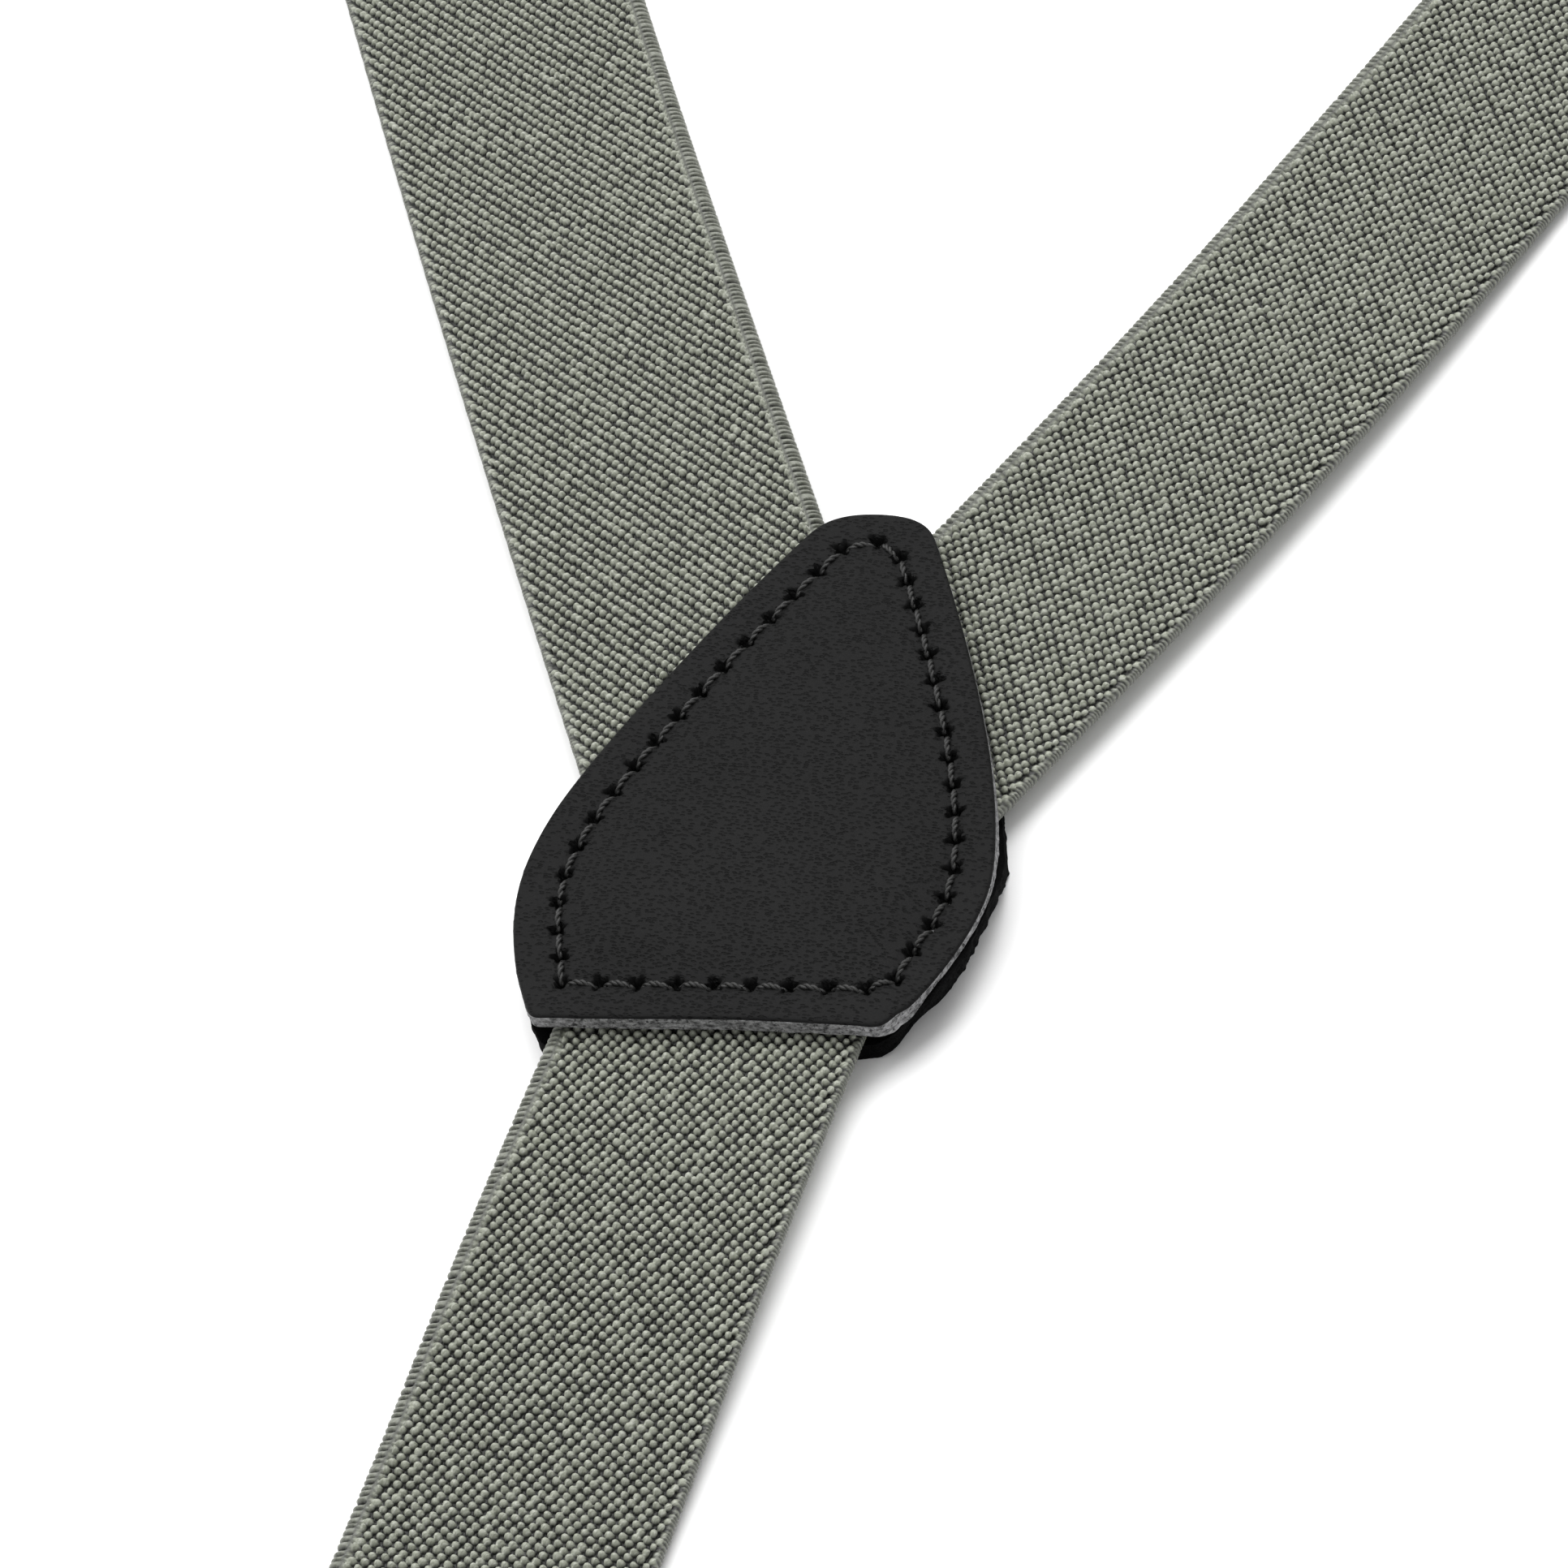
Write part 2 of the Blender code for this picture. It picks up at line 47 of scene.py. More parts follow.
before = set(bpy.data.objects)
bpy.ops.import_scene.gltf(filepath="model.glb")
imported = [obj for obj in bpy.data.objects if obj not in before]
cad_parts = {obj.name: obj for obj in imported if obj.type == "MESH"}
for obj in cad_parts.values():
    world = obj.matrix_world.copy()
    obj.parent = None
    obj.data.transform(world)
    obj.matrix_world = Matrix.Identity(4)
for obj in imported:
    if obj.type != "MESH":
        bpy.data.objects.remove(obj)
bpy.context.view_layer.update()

# The straps, as in the CAD: mm and degrees
WIDTH = 25.0
THICK = 1.8
GAP = 0.3
FLOOR_LEVEL = 1.0
PATCH_LEVEL = 2.7
ADJUSTER_LEVEL = 6.5
PATCH_AT = (14.275, -52.376)
SHOULDER_RADIUS = 42.0
SHOULDER_TWIST = 100.0
ADJUSTER_RUN = 75.0
ADJUSTER_LEAD = 40.0
LOOP_BAR_Y = -5.0
TURN_AT_BAR = 1.7
TURN_AT_RING = 2.5
DOWN = -90.0
FRONTS = {      # side, start, heading, bends (length, turn), straight run, leg
    "left": (1, (0.0, -6.0), 117.9, ((38, -0.5), (40, -0.5), (40, -0.5)), 105, 128),
    "right": (-1, (0.81, -5.72), 64.3, ((38, 1.4), (40, 5.0), (40, -1.0)), 100, 140),
}
BACK_START = (0.7, -5.2)
BACK_HEADING = -93.3
STRAP_END_LINE = -4.5
MITRE_GAP = 0.15

# Weave: a row of floats every ROW along the strap, COLUMN apart, each row a third further
COLUMN = 1.0
ROW = 0.617
FINE = ROW / 6
VALLEY = 0.32                   # height of the ground between the floats above the middle
CREST = 0.60                    # how far the floats stand above it
FAR_CREST = 0.45                # the same in the coarser lengths away from the patch
FAR_SHADE = 0.10                # how much black those lengths take, to match in tone
PLAIN_BACK = 0.8                # height, 0 to 1, of a back that is not woven in relief
FLAT_HALF = 11.3                # half width of the strap between its two selvedges
EDGE_THICK = 0.84               # half thickness of a selvedge
EDGE_REACH = WIDTH / 2 - FLAT_HALF - 0.08
EDGE_ARC = 3.0                  # length of the way round a selvedge, face to back
LAST_FLOAT = 10.85              # where the floats stop before the looped selvedge
LOOP_JOIN = 0.12                # width over which the face rises to the looped selvedge
LOOP_PITCH = ROW
FLOAT_HALF = (0.388, 0.358)     # across and along the chains in which the floats lie
FLOAT_LEAN = 0.50
WRAP_PITCH = ROW / 1.6
FIELD_TABLE = 61                # size of the table of random draws, which repeats


# ---- paths of the straps

def move(length, turn=0.0, roll=0.0, dive=0.0):
    """One stretch of webbing: turn about the vertical, twist, and bend across its face."""
    return length, turn, roll, dive


def climb(height, length):
    """An S-bend that gains height and ends level again."""
    slope = 2 * height / length
    for _ in range(6):
        slope = height * slope ** 2 / (length * (1 - math.cos(slope)))
    angle = math.degrees(slope)
    return [move(length / 2, dive=-angle), move(length / 2, dive=angle)]


def shoulder(side, heading):
    swing = (270 - heading) if side > 0 else (heading + 90)
    length = math.radians(swing) * SHOULDER_RADIUS
    return [move(SHOULDER_TWIST, roll=90 * side), move(length, dive=swing),
            move(SHOULDER_TWIST, roll=-90 * side)]


def front_moves(side, heading, bends, run, leg):
    sink = climb(FLOOR_LEVEL - PATCH_LEVEL, bends[1][0] + bends[2][0])
    moves = [move(bends[0][0], turn=bends[0][1])]
    for (length, turn), (_, _, _, dive) in zip(bends[1:], sink):
        moves.append(move(length, turn=turn, dive=dive))
    moves += [move(run)] + shoulder(side, heading + sum(turn for _, turn in bends))
    return moves + [move(leg)] + climb(ADJUSTER_LEVEL - FLOOR_LEVEL, 60) + [move(ADJUSTER_LEAD)]


def ring_turn():
    return move(math.pi * TURN_AT_RING, dive=180)


def loop_moves():
    over_ring = FLOOR_LEVEL + 2 * TURN_AT_RING
    over_bar = FLOOR_LEVEL + 2 * TURN_AT_BAR
    sewn = FLOOR_LEVEL + THICK + GAP
    moves = [move(ADJUSTER_RUN - 20)] + climb(over_ring - ADJUSTER_LEVEL, 20)
    moves += [ring_turn(), move(ADJUSTER_RUN + LOOP_BAR_Y)]
    return moves + [move(math.pi * TURN_AT_BAR, dive=180), move(4)] + climb(sewn - over_bar, 8) \
        + [move(10)]


def back_moves():
    over_ring = FLOOR_LEVEL + 2 * TURN_AT_RING
    doubled = FLOOR_LEVEL + THICK + GAP
    moves = [move(30)] + climb(FLOOR_LEVEL - PATCH_LEVEL, 50)
    moves += [move(24, turn=DOWN - BACK_HEADING)] + climb(doubled - FLOOR_LEVEL, 30)
    return moves + [move(10)] + climb(over_ring - doubled, 14) + [move(2), ring_turn(), move(25)]


def from_patch(start):
    return np.array((start[0] + PATCH_AT[0], start[1] + PATCH_AT[1], PATCH_LEVEL))


def turn_matrix(angle, axis):
    c, s = math.cos(angle), math.sin(angle)
    x, y = [i for i in range(3) if i != axis]
    if axis == 1:
        s = -s
    matrix = np.eye(3)
    matrix[x, x] = matrix[y, y] = c
    matrix[x, y], matrix[y, x] = -s, s
    return matrix


def trace(start, heading, moves, step=FINE):
    """Middle and pose (along, left, out as columns) of a strap at every step of its length."""
    ends = np.cumsum([0.0] + [length for length, _, _, _ in moves])
    count = int(round(ends[-1] / step))
    step = ends[-1] / count
    at = np.arange(count + 1) * step
    sums = np.zeros((3, count + 1))
    for (length, *amounts), begin in zip(moves, ends):
        part = np.clip((at - begin) / length, 0, 1)
        for k, amount in enumerate(amounts):
            share = part * part * (3 - 2 * part) if k == 1 else part
            sums[k] += math.radians(amount) * share
    steps = np.diff(sums, axis=1) / 2
    place, pose = np.array(start, float), turn_matrix(math.radians(heading), 2)
    places, poses = [place], [pose]
    for yaw, roll, pitch in steps.T:
        before = turn_matrix(yaw, 2) if yaw else None
        half = turn_matrix(pitch, 1) if pitch else None
        twist = turn_matrix(roll, 0) if roll else None
        for part in range(2):
            if before is not None:
                pose = before @ pose
            if half is not None:
                pose = pose @ half
            if twist is not None:
                pose = pose @ twist
            if part == 0:
                place = place + pose[:, 0] * step
        places.append(place)
        poses.append(pose)
    places, poses = np.array(places), np.array(poses)
    tilt = np.minimum(1.0, np.abs(poses[:, 2, 1]))
    places[:, 2] += WIDTH / 2 * tilt + THICK / 2 * (np.sqrt(1 - tilt * tilt) - 1)
    return places, poses


# ---- meshes

def linked(name, data):
    """A new object of the scene."""
    made = bpy.data.objects.new(name, data)
    bpy.context.collection.objects.link(made)
    return made


def mesh_object(name, points, faces_flat, starts, attributes, normals=None):
    """A mesh from numpy arrays: points in mm, corner indices, each face's first corner."""
    data = bpy.data.meshes.new(name)
    data.vertices.add(len(points))
    data.vertices.foreach_set("co", (points * MM).astype(np.float32).ravel())
    data.loops.add(len(faces_flat))
    data.loops.foreach_set("vertex_index", faces_flat.astype(np.int32))
    data.polygons.add(len(starts))
    data.polygons.foreach_set("loop_start", starts.astype(np.int32))
    data.update(calc_edges=True)
    for key, values in attributes.items():
        kind, field = ("FLOAT", "value") if values.ndim == 1 else ("FLOAT_VECTOR", "vector")
        data.attributes.new(key, kind, "POINT").data.foreach_set(
            field, values.astype(np.float32).ravel())
    data.shade_smooth()
    if normals is not None:
        data.normals_split_custom_set_from_vertices(normals.astype(np.float32))
    return linked(name, data)


def grid_faces(rows, columns):
    """Corner indices of the quads of a tube whose cross-section has that many columns."""
    row = np.arange(rows - 1)[:, None] * columns
    here = np.arange(columns)[None, :]
    after = (here + 1) % columns
    quads = np.stack([row + here, row + after, row + columns + after, row + columns + here], -1)
    return quads.reshape(-1, 4)


def grid_normals(points):
    """Normals of a tube's points, rows along it and columns round it."""
    along = np.gradient(points, axis=0)
    around = np.roll(points, -1, axis=1) - np.roll(points, 1, axis=1)
    normal = np.cross(around, along)
    return normal / np.maximum(np.linalg.norm(normal, axis=2, keepdims=True), 1e-12)


def capped_faces(rows, columns):
    """Corner indices of a tube with flat ends, and each face's first corner."""
    quads = grid_faces(rows, columns)
    first = np.arange(columns)[::-1]
    last = (rows - 1) * columns + np.arange(columns)
    starts = np.concatenate([np.arange(len(quads)) * 4, [quads.size, quads.size + columns]])
    return np.concatenate([quads.ravel(), first, last]), starts


def capped_tube(name, points, attributes, normals):
    """A closed tube through the rows of points, with flat ends."""
    rows, columns = points.shape[:2]
    flat, starts = capped_faces(rows, columns)
    flat_attributes = {key: value.reshape(rows * columns, *value.shape[2:])
                       for key, value in attributes.items()}
    return mesh_object(name, points.reshape(-1, 3), flat, starts, flat_attributes,
                       normals.reshape(-1, 3))


def smooth(t):
    t = np.clip(t, 0, 1)
    return t * t * (3 - 2 * t)


# ---- weave

class Weave:
    """Relief of the elastic webbing on both of its faces, from (across, along) in mm."""

    def __init__(self, seed, slant, loop_side):
        self.slant, self.loop_side = slant, loop_side
        draw = np.random.default_rng(seed)
        size = (FIELD_TABLE, FIELD_TABLE)
        self.shift_u = draw.normal(0, 0.034, size)
        self.shift_v = draw.normal(0, 0.042, size)
        self.grow = draw.normal(1.0, 0.05, size).clip(0.85, 1.15)
        self.lift = draw.normal(0.97, 0.06, size).clip(0.74, 1.10)
        self.lean = draw.normal(0, 0.20, size)
        self.tone = draw.uniform(0, 1, size)

    def floats(self, across, along):
        """Height, 0 to 1, and tone of the yarn floats."""
        height = np.zeros_like(across)
        tone = np.zeros_like(across)
        middle = np.round(along / ROW)
        for step in (-1, 0, 1):
            row = middle + step
            shift = self.slant * row / 3 * COLUMN
            column = np.round((across - shift) / COLUMN)
            key = (row.astype(int) % FIELD_TABLE, column.astype(int) % FIELD_TABLE)
            du = across - shift - column * COLUMN - self.shift_u[key]
            dv = along - row * ROW - self.shift_v[key]
            lean = self.slant * FLOAT_LEAN + self.lean[key]
            c, s = np.cos(lean), np.sin(lean)
            grow = self.grow[key]
            wide = (du * c - dv * s) / (FLOAT_HALF[0] * grow)
            long = (du * s + dv * c) / (FLOAT_HALF[1] * grow)
            rise = np.maximum(0, 1 - wide ** 2 - long ** 2) ** 0.6 * self.lift[key]
            higher = rise > height
            height = np.where(higher, rise, height)
            tone = np.where(higher, self.tone[key], tone)
        return height, tone

    def face(self, across, along):
        """Height, 0 to 1, and tone on the flat of the strap, up to the looped selvedge."""
        height, tone = self.floats(across, along)
        side = across * self.loop_side          # positive towards the looped selvedge
        keep = 1 - smooth((side - LAST_FLOAT) / 0.3)
        band = smooth((side - LAST_FLOAT + 0.1) / 0.3)
        return height * keep + band * (0.24 + 0.34 * self.loop_wave(along) ** 0.7), tone

    def loop_wave(self, along):
        """0 in the slits between the small loops of the selvedge, 1 on the loops."""
        phase = along / LOOP_PITCH + 0.16 * np.sin(along * 1.7) + 0.10 * np.sin(along * 4.1 + 1) \
            + 0.07 * np.sin(along * 7.3 + 2)
        return np.abs(np.cos(math.pi * phase))

    def edge(self, side, round_it, along, both_faces):
        """Relief and depth on a selvedge, the depth painting shade; round_it runs 0 (face) to 1
        (other face).
        """
        if side == self.loop_side:
            loops = self.loop_wave(along)
            slit = 1 - smooth((loops - 0.20) / 0.50)
            window = np.exp(-((np.minimum(round_it, 1 - round_it) - 0.19) / 0.13) ** 2)
            rim = np.exp(-((round_it - 0.5) / 0.22) ** 2)
            relief = 0.24 * (loops - 0.75) * (0.4 + rim) - 0.62 * slit * window
            # painted shade: the depth drops in the slits between the loops
            depth = 0.46 - 0.46 * slit * window - 0.30 * slit * (1 - window)
            return relief, np.clip(depth, 0, 1)
        wave = np.cos(2 * math.pi * (along / WRAP_PITCH + 1.3 * np.abs(round_it - 0.5)
                                     + 0.32 * np.sin(along * 1.3) + 0.2 * np.sin(along * 3.7)))
        wave = wave * (0.78 + 0.22 * np.sin(along * 2.3 + 4 * round_it))
        turned = np.minimum(round_it, 1 - round_it) if both_faces else round_it
        height, _ = self.floats(side * (FLAT_HALF + turned * EDGE_ARC), along)
        over = 1 - smooth((turned - 0.17) / 0.20)       # the floats reach over the edge
        relief = over * (0.10 - 0.75 * (1 - height)) + (1 - over) * 0.07 * wave
        # painted shade: the depth is lower between the wraps of the cord
        return relief, np.clip(over * height + (1 - over) * (0.33 + 0.16 * wave), 0, 1)


Detail = namedtuple("Detail", "across back_across arc_steps back_woven crest")
NEAR = Detail(1 / 6, 0.55, 16, False, CREST)
FAR = Detail(1 / 3, 1 / 3, 7, True, FAR_CREST)


def relief_tube(weave, along, detail):
    """Offsets (across, out) of every column from the strap's middle, with its attributes."""
    top = np.linspace(-FLAT_HALF, FLAT_HALF, int(round(2 * FLAT_HALF / detail.across)) + 1)
    back = np.linspace(FLAT_HALF, -FLAT_HALF, int(round(2 * FLAT_HALF / detail.back_across)) + 1)
    round_it = np.arange(1, detail.arc_steps) / detail.arc_steps
    blocks, depths, tones, cloths = [], [], [], []

    def flat(columns, sign, woven):
        u, v = np.meshgrid(columns, along)
        if woven:
            height, tone = weave.face(u, v)
        else:
            height, tone = np.full_like(u, PLAIN_BACK), np.full_like(u, 0.5)
        rise = smooth((u * weave.loop_side - (FLAT_HALF - LOOP_JOIN)) / LOOP_JOIN)
        out = (CREST + VALLEY - detail.crest * (1 - height)) * (1 - rise) + EDGE_THICK * rise
        blocks.append(np.stack([u, sign * out], -1))
        depths.append(height * (1 - rise) + rise * 0.3)
        tones.append(tone)
        cloths.append(np.stack([u, v, np.full_like(u, sign)], -1))

    def rounded(side, order):
        share, v = np.meshgrid(order, along)
        relief, depth = weave.edge(side, share, v, detail.back_woven)
        angle = math.pi * (0.5 - share)
        u = side * (FLAT_HALF + (EDGE_REACH + relief) * np.cos(angle) ** 0.85)
        out = (EDGE_THICK + relief * 0.8) * np.sin(angle)
        blocks.append(np.stack([u, out], -1))
        depths.append(depth)
        tones.append(0.5 + 0.4 * np.sin(v * 2.1 + share * 7))
        cloths.append(np.stack([side * (FLAT_HALF + share * EDGE_ARC), v, np.zeros_like(v)], -1))

    flat(top, 1, True)
    rounded(1, round_it)
    flat(back, -1, detail.back_woven)
    rounded(-1, round_it[::-1])
    return [np.concatenate(parts, axis=1) for parts in (blocks, depths, tones, cloths)]


def ribbon(places, poses, offsets):
    """Points of the strap: u is to the right of its heading, out is away from its face."""
    right = -poses[:, None, :, 1]
    out = poses[:, None, :, 2]
    return places[:, None] + offsets[..., :1] * right + offsets[..., 1:] * out


def woven(name, path, first, last, weave, near, start_at=0.0):
    """One closed length of webbing between two distances along a traced strap, in mm."""
    places, poses = path
    stride = 1 if near else 3
    low = int(round(first / FINE / 3)) * 3
    high = min(int(round(last / FINE / 3)) * 3, (len(places) - 1) // 3 * 3)
    picked = np.arange(low, high + 1, stride)
    wide = np.clip(np.arange(low - stride, high + stride + 1, stride), 0, len(places) - 1)
    along = start_at + np.arange(low - stride, high + stride + 1, stride) * FINE
    offsets, depth, tone, cloth = relief_tube(weave, along, NEAR if near else FAR)
    points = ribbon(places[wide], poses[wide], offsets)
    normals = grid_normals(points)
    inner = slice(1, 1 + len(picked))
    # relief holds the height of the floats, which the material turns into painted shade between them
    attributes = {"relief": depth[inner], "tone": tone[inner], "cloth": cloth[inner]}
    return capped_tube(name, points[inner], attributes, normals[inner]), (high - low) * FINE


def cut_straight(piece, planes):
    """Cuts a closed piece along planes (point, outward normal) in mm and closes it again."""
    shape = bmesh.new()
    shape.from_mesh(piece.data)
    for point, normal in planes:
        result = bmesh.ops.bisect_plane(
            shape, geom=shape.verts[:] + shape.edges[:] + shape.faces[:], dist=1e-7,
            plane_co=Vector(point) * MM, plane_no=Vector(normal), clear_outer=True)
        edges = [e for e in result["geom_cut"] if isinstance(e, bmesh.types.BMEdge)]
        if edges:
            bmesh.ops.triangle_fill(shape, edges=edges, use_dissolve=False)
    bmesh.ops.recalc_face_normals(shape, faces=shape.faces)
    shape.to_mesh(piece.data)
    shape.free()
    piece.data.shade_smooth()


# ---- materials

class Shader:
    """A material with one Principled shader and a short way to add nodes to it."""

    def __init__(self, name, **values):
        self.material = bpy.data.materials.new(name)
        self.material.use_nodes = True
        self.tree = self.material.node_tree
        self.main = self.tree.nodes["Principled BSDF"]
        self.set(**values)

    def set(self, **values):
        for key, value in values.items():
            self.plug(self.main.inputs[key.replace("_", " ")], value)

    def plug(self, socket, value):
        if isinstance(value, bpy.types.NodeSocket):
            self.tree.links.new(value, socket)
        else:
            socket.default_value = value

    def node(self, kind, inputs=(), **fields):
        made = self.tree.nodes.new("ShaderNode" + kind)
        for key, value in fields.items():
            setattr(made, key, value)
        for key, value in dict(inputs).items():
            self.plug(made.inputs[key], value)
        return made

    def attribute(self, name, output="Fac"):
        return self.node("Attribute", attribute_name=name).outputs[output]

    def noise(self, vector, scale, detail=2.0, rough=0.5):
        return self.node("TexNoise", {"Vector": vector, "Scale": scale, "Detail": detail,
                                      "Roughness": rough}).outputs["Fac"]

    def ramp(self, value, low, high, to_low=0.0, to_high=1.0):
        made = self.node("MapRange", {"Value": value, "From Min": low, "From Max": high,
                                      "To Min": to_low, "To Max": to_high})
        return made.outputs["Result"]

    def math(self, operation, a, b=0.0):
        made = self.node("Math", operation=operation)
        self.plug(made.inputs[0], a)
        self.plug(made.inputs[1], b)
        return made.outputs[0]

    def scaled(self, vector, scale, rotation=(0, 0, 0)):
        return self.node("Mapping", {"Vector": vector, "Scale": scale,
                                     "Rotation": rotation}).outputs["Vector"]

    def mix(self, factor, a, b):
        made = self.node("Mix", data_type="RGBA")
        self.plug(made.inputs[0], factor)
        self.plug(made.inputs[6], a)
        self.plug(made.inputs[7], b)
        return made.outputs[2]

    def place(self, rotation=(0, 0, 0)):
        """Object coordinates in mm."""
        metres = self.node("TexCoord").outputs["Object"]
        return self.scaled(metres, (1000, 1000, 1000), rotation)

    def bump(self, height, strength, distance):
        made = self.node("Bump", {"Height": height, "Strength": strength, "Distance": distance})
        return made.outputs["Normal"]


YARN = ((0.265, 0.280, 0.223, 1), (0.305, 0.320, 0.262, 1))     # darkest, lightest float
YARN_WORN = (0.290, 0.305, 0.250, 1)
YARN_GLINT = (0.480, 0.490, 0.445, 1)
# painted shade in the creases between the twisted fibres
YARN_CREASE_SHADE = (0.105, 0.113, 0.086, 1)
# painted shade: the colour between the floats and in the slits and grooves of the selvedges
YARN_GAP_SHADE = (0.0034, 0.0040, 0.0026, 1)
FIBRE_TWIST = 38                # degrees from the strap's length


def webbing_material(slant, near):
    """Sage elastic with painted shade between the floats, fine twisted fibres with painted shade in
    their creases, and small glints on them, partly painted highlight and partly the shader's gloss.

    The coarser relief away from the patch scatters less, so there the yarn is duller.
    """
    name = "sage_webbing_%s_%s" % ("z" if slant > 0 else "s", "near" if near else "far")
    made = Shader(name, Roughness=0.36 if near else 0.8, Specular_IOR_Level=0.45 if near else 0.15,
                  Sheen_Weight=0.04, Sheen_Roughness=0.5)
    cloth = made.attribute("cloth", "Vector")
    turned = made.scaled(cloth, (1, 1, 1), (0, 0, slant * math.radians(FIBRE_TWIST)))
    fibres = made.noise(made.scaled(turned, (7.0, 1.8, 1.0)), 1.0, 3.0, 0.65)
    blotch = made.noise(made.scaled(cloth, (0.35, 0.16, 1.0)), 1.0, 3.0, 0.55)
    light = made.mix(made.attribute("tone"), *YARN)
    light = made.mix(made.ramp(blotch, 0.3, 0.7, 0.0, 0.5), light, YARN_WORN)
    light = made.mix(made.ramp(fibres, 0.50, 0.70, 0.0, 0.8), light, YARN_GLINT)
    # painted shade in the creases between the twisted fibres
    light = made.mix(made.ramp(fibres, 0.48, 0.28, 0.0, 0.55), light, YARN_CREASE_SHADE)
    low, high = (0.20, 0.66) if near else (0.0, 0.85)
    # painted shade: where the relief attribute is low, between the floats, the yarn goes to the gap
    # colour
    colour = made.mix(made.ramp(made.attribute("relief"), low, high), YARN_GAP_SHADE, light)
    if not near:
        colour = made.mix(FAR_SHADE, colour, (0, 0, 0, 1))
    made.set(Base_Color=colour, Normal=made.bump(fibres, 0.7, 0.00010))
    return made.material


def leather_material():
    """Black smooth leather with fine hair-cell grain, faint darker dashes and painted shade in the
    seam's punctures.
    """
    made = Shader("black_leather", Specular_IOR_Level=0.07)
    place = made.place((0, 0, math.radians(8)))
    wavy = made.node("TexNoise", {"Vector": place, "Scale": 0.5, "Detail": 2.0})
    bent = made.node("Mix", {0: 0.06, 4: place, 5: wavy.outputs["Color"]}, data_type="VECTOR")
    cells = made.node("TexVoronoi", {"Vector": made.scaled(bent.outputs[1], (1.8, 4.4, 1.0)),
                                     "Scale": 1.0, "Randomness": 0.85}).outputs["Distance"]
    fine = made.noise(place, 5.5, 4.0, 0.6)
    broad = made.noise(place, 0.09, 3.0, 0.5)
    thin_out = made.ramp(made.noise(place, 0.7, 2.0), 0.30, 0.6, 0.6, 1.0)
    dash = made.math("MULTIPLY", made.ramp(cells, 0.42, 0.22), thin_out)
    colour = made.mix(made.ramp(broad, 0.3, 0.7), (0.0056, 0.0056, 0.0057, 1),
                      (0.0072, 0.0072, 0.0073, 1))
    colour = made.mix(made.math("MULTIPLY", dash, 0.7), colour, (0.0012, 0.0012, 0.0012, 1))
    # painted shade in the punctures of the seam
    colour = made.mix(made.attribute("hole"), colour, (0.0008, 0.0008, 0.0008, 1))
    made.set(Base_Color=colour, Roughness=made.ramp(fine, 0.3, 0.7, 0.50, 0.62))
    grain = made.math("SUBTRACT", made.math("MULTIPLY", fine, 0.25), dash)
    made.set(Normal=made.bump(grain, 0.7, 0.00014))
    return made.material


def raw_edge_material():
    """Cut edge of the leather: grey layered fibres."""
    made = Shader("leather_cut_edge", Roughness=0.9, Specular_IOR_Level=0.2)
    place = made.place()
    layers = made.noise(made.scaled(place, (1.6, 1.6, 3.2)), 1.0, 5.0, 0.7)
    specks = made.noise(place, 2.6, 4.0, 0.7)
    colour = made.mix(made.ramp(layers, 0.36, 0.64), (0.065, 0.065, 0.066, 1),
                      (0.360, 0.360, 0.366, 1))
    colour = made.mix(made.ramp(specks, 0.53, 0.64, 0.0, 0.85), colour, (0.010, 0.010, 0.011, 1))
    made.set(Base_Color=colour)
    made.set(Normal=made.bump(made.math("ADD", layers, specks), 0.9, 0.0003))
    return made.material


def backing_material():
    """Deep black felt-like backing."""
    made = Shader("black_backing", Roughness=1.0, Specular_IOR_Level=0.05)
    place = made.place()
    fuzz = made.noise(place, 6.0, 5.0, 0.7)
    colour = made.mix(made.ramp(fuzz, 0.35, 0.7), (0.0016, 0.0016, 0.0016, 1),
                      (0.0080, 0.0080, 0.0082, 1))
    made.set(Base_Color=colour, Normal=made.bump(fuzz, 0.8, 0.0003))
    return made.material


def thread_material():
    """Waxed black thread with grey lights on its plies."""
    made = Shader("black_thread", Roughness=0.40, Specular_IOR_Level=0.35)
    place = made.place()
    fibre = made.noise(place, 12.0, 3.0, 0.6)
    colour = made.mix(made.ramp(fibre, 0.35, 0.7), (0.005, 0.005, 0.005, 1),
                      (0.024, 0.024, 0.023, 1))
    made.set(Base_Color=colour, Normal=made.bump(fibre, 0.5, 0.00006))
    return made.material


def steel_material():
    """Nickel-plated steel: faint drawing lines, fingerprints and fine scratches."""
    made = Shader("nickel_plate", Metallic=1.0)
    place = made.place()
    drawn = made.noise(made.scaled(place, (7.0, 0.35, 7.0)), 1.0, 3.0, 0.6)
    smudge = made.noise(place, 0.16, 4.0, 0.6)
    scratch = made.noise(made.scaled(place, (0.5, 11.0, 0.5), (0.2, 0.1, 0.6)), 1.0, 2.0, 0.5)
    colour = made.mix(made.ramp(smudge, 0.35, 0.65), (0.24, 0.236, 0.227, 1),
                      (0.31, 0.305, 0.294, 1))
    made.set(Base_Color=colour)
    rough = made.math("ADD", made.ramp(drawn, 0.3, 0.7, 0.15, 0.27),
                      made.ramp(smudge, 0.4, 0.7, 0.0, 0.09))
    made.set(Roughness=rough)
    height = made.math("ADD", made.math("MULTIPLY", drawn, 0.6), made.math("MULTIPLY", scratch, 0.4))
    made.set(Normal=made.bump(height, 0.04, 0.00005))
    return made.material


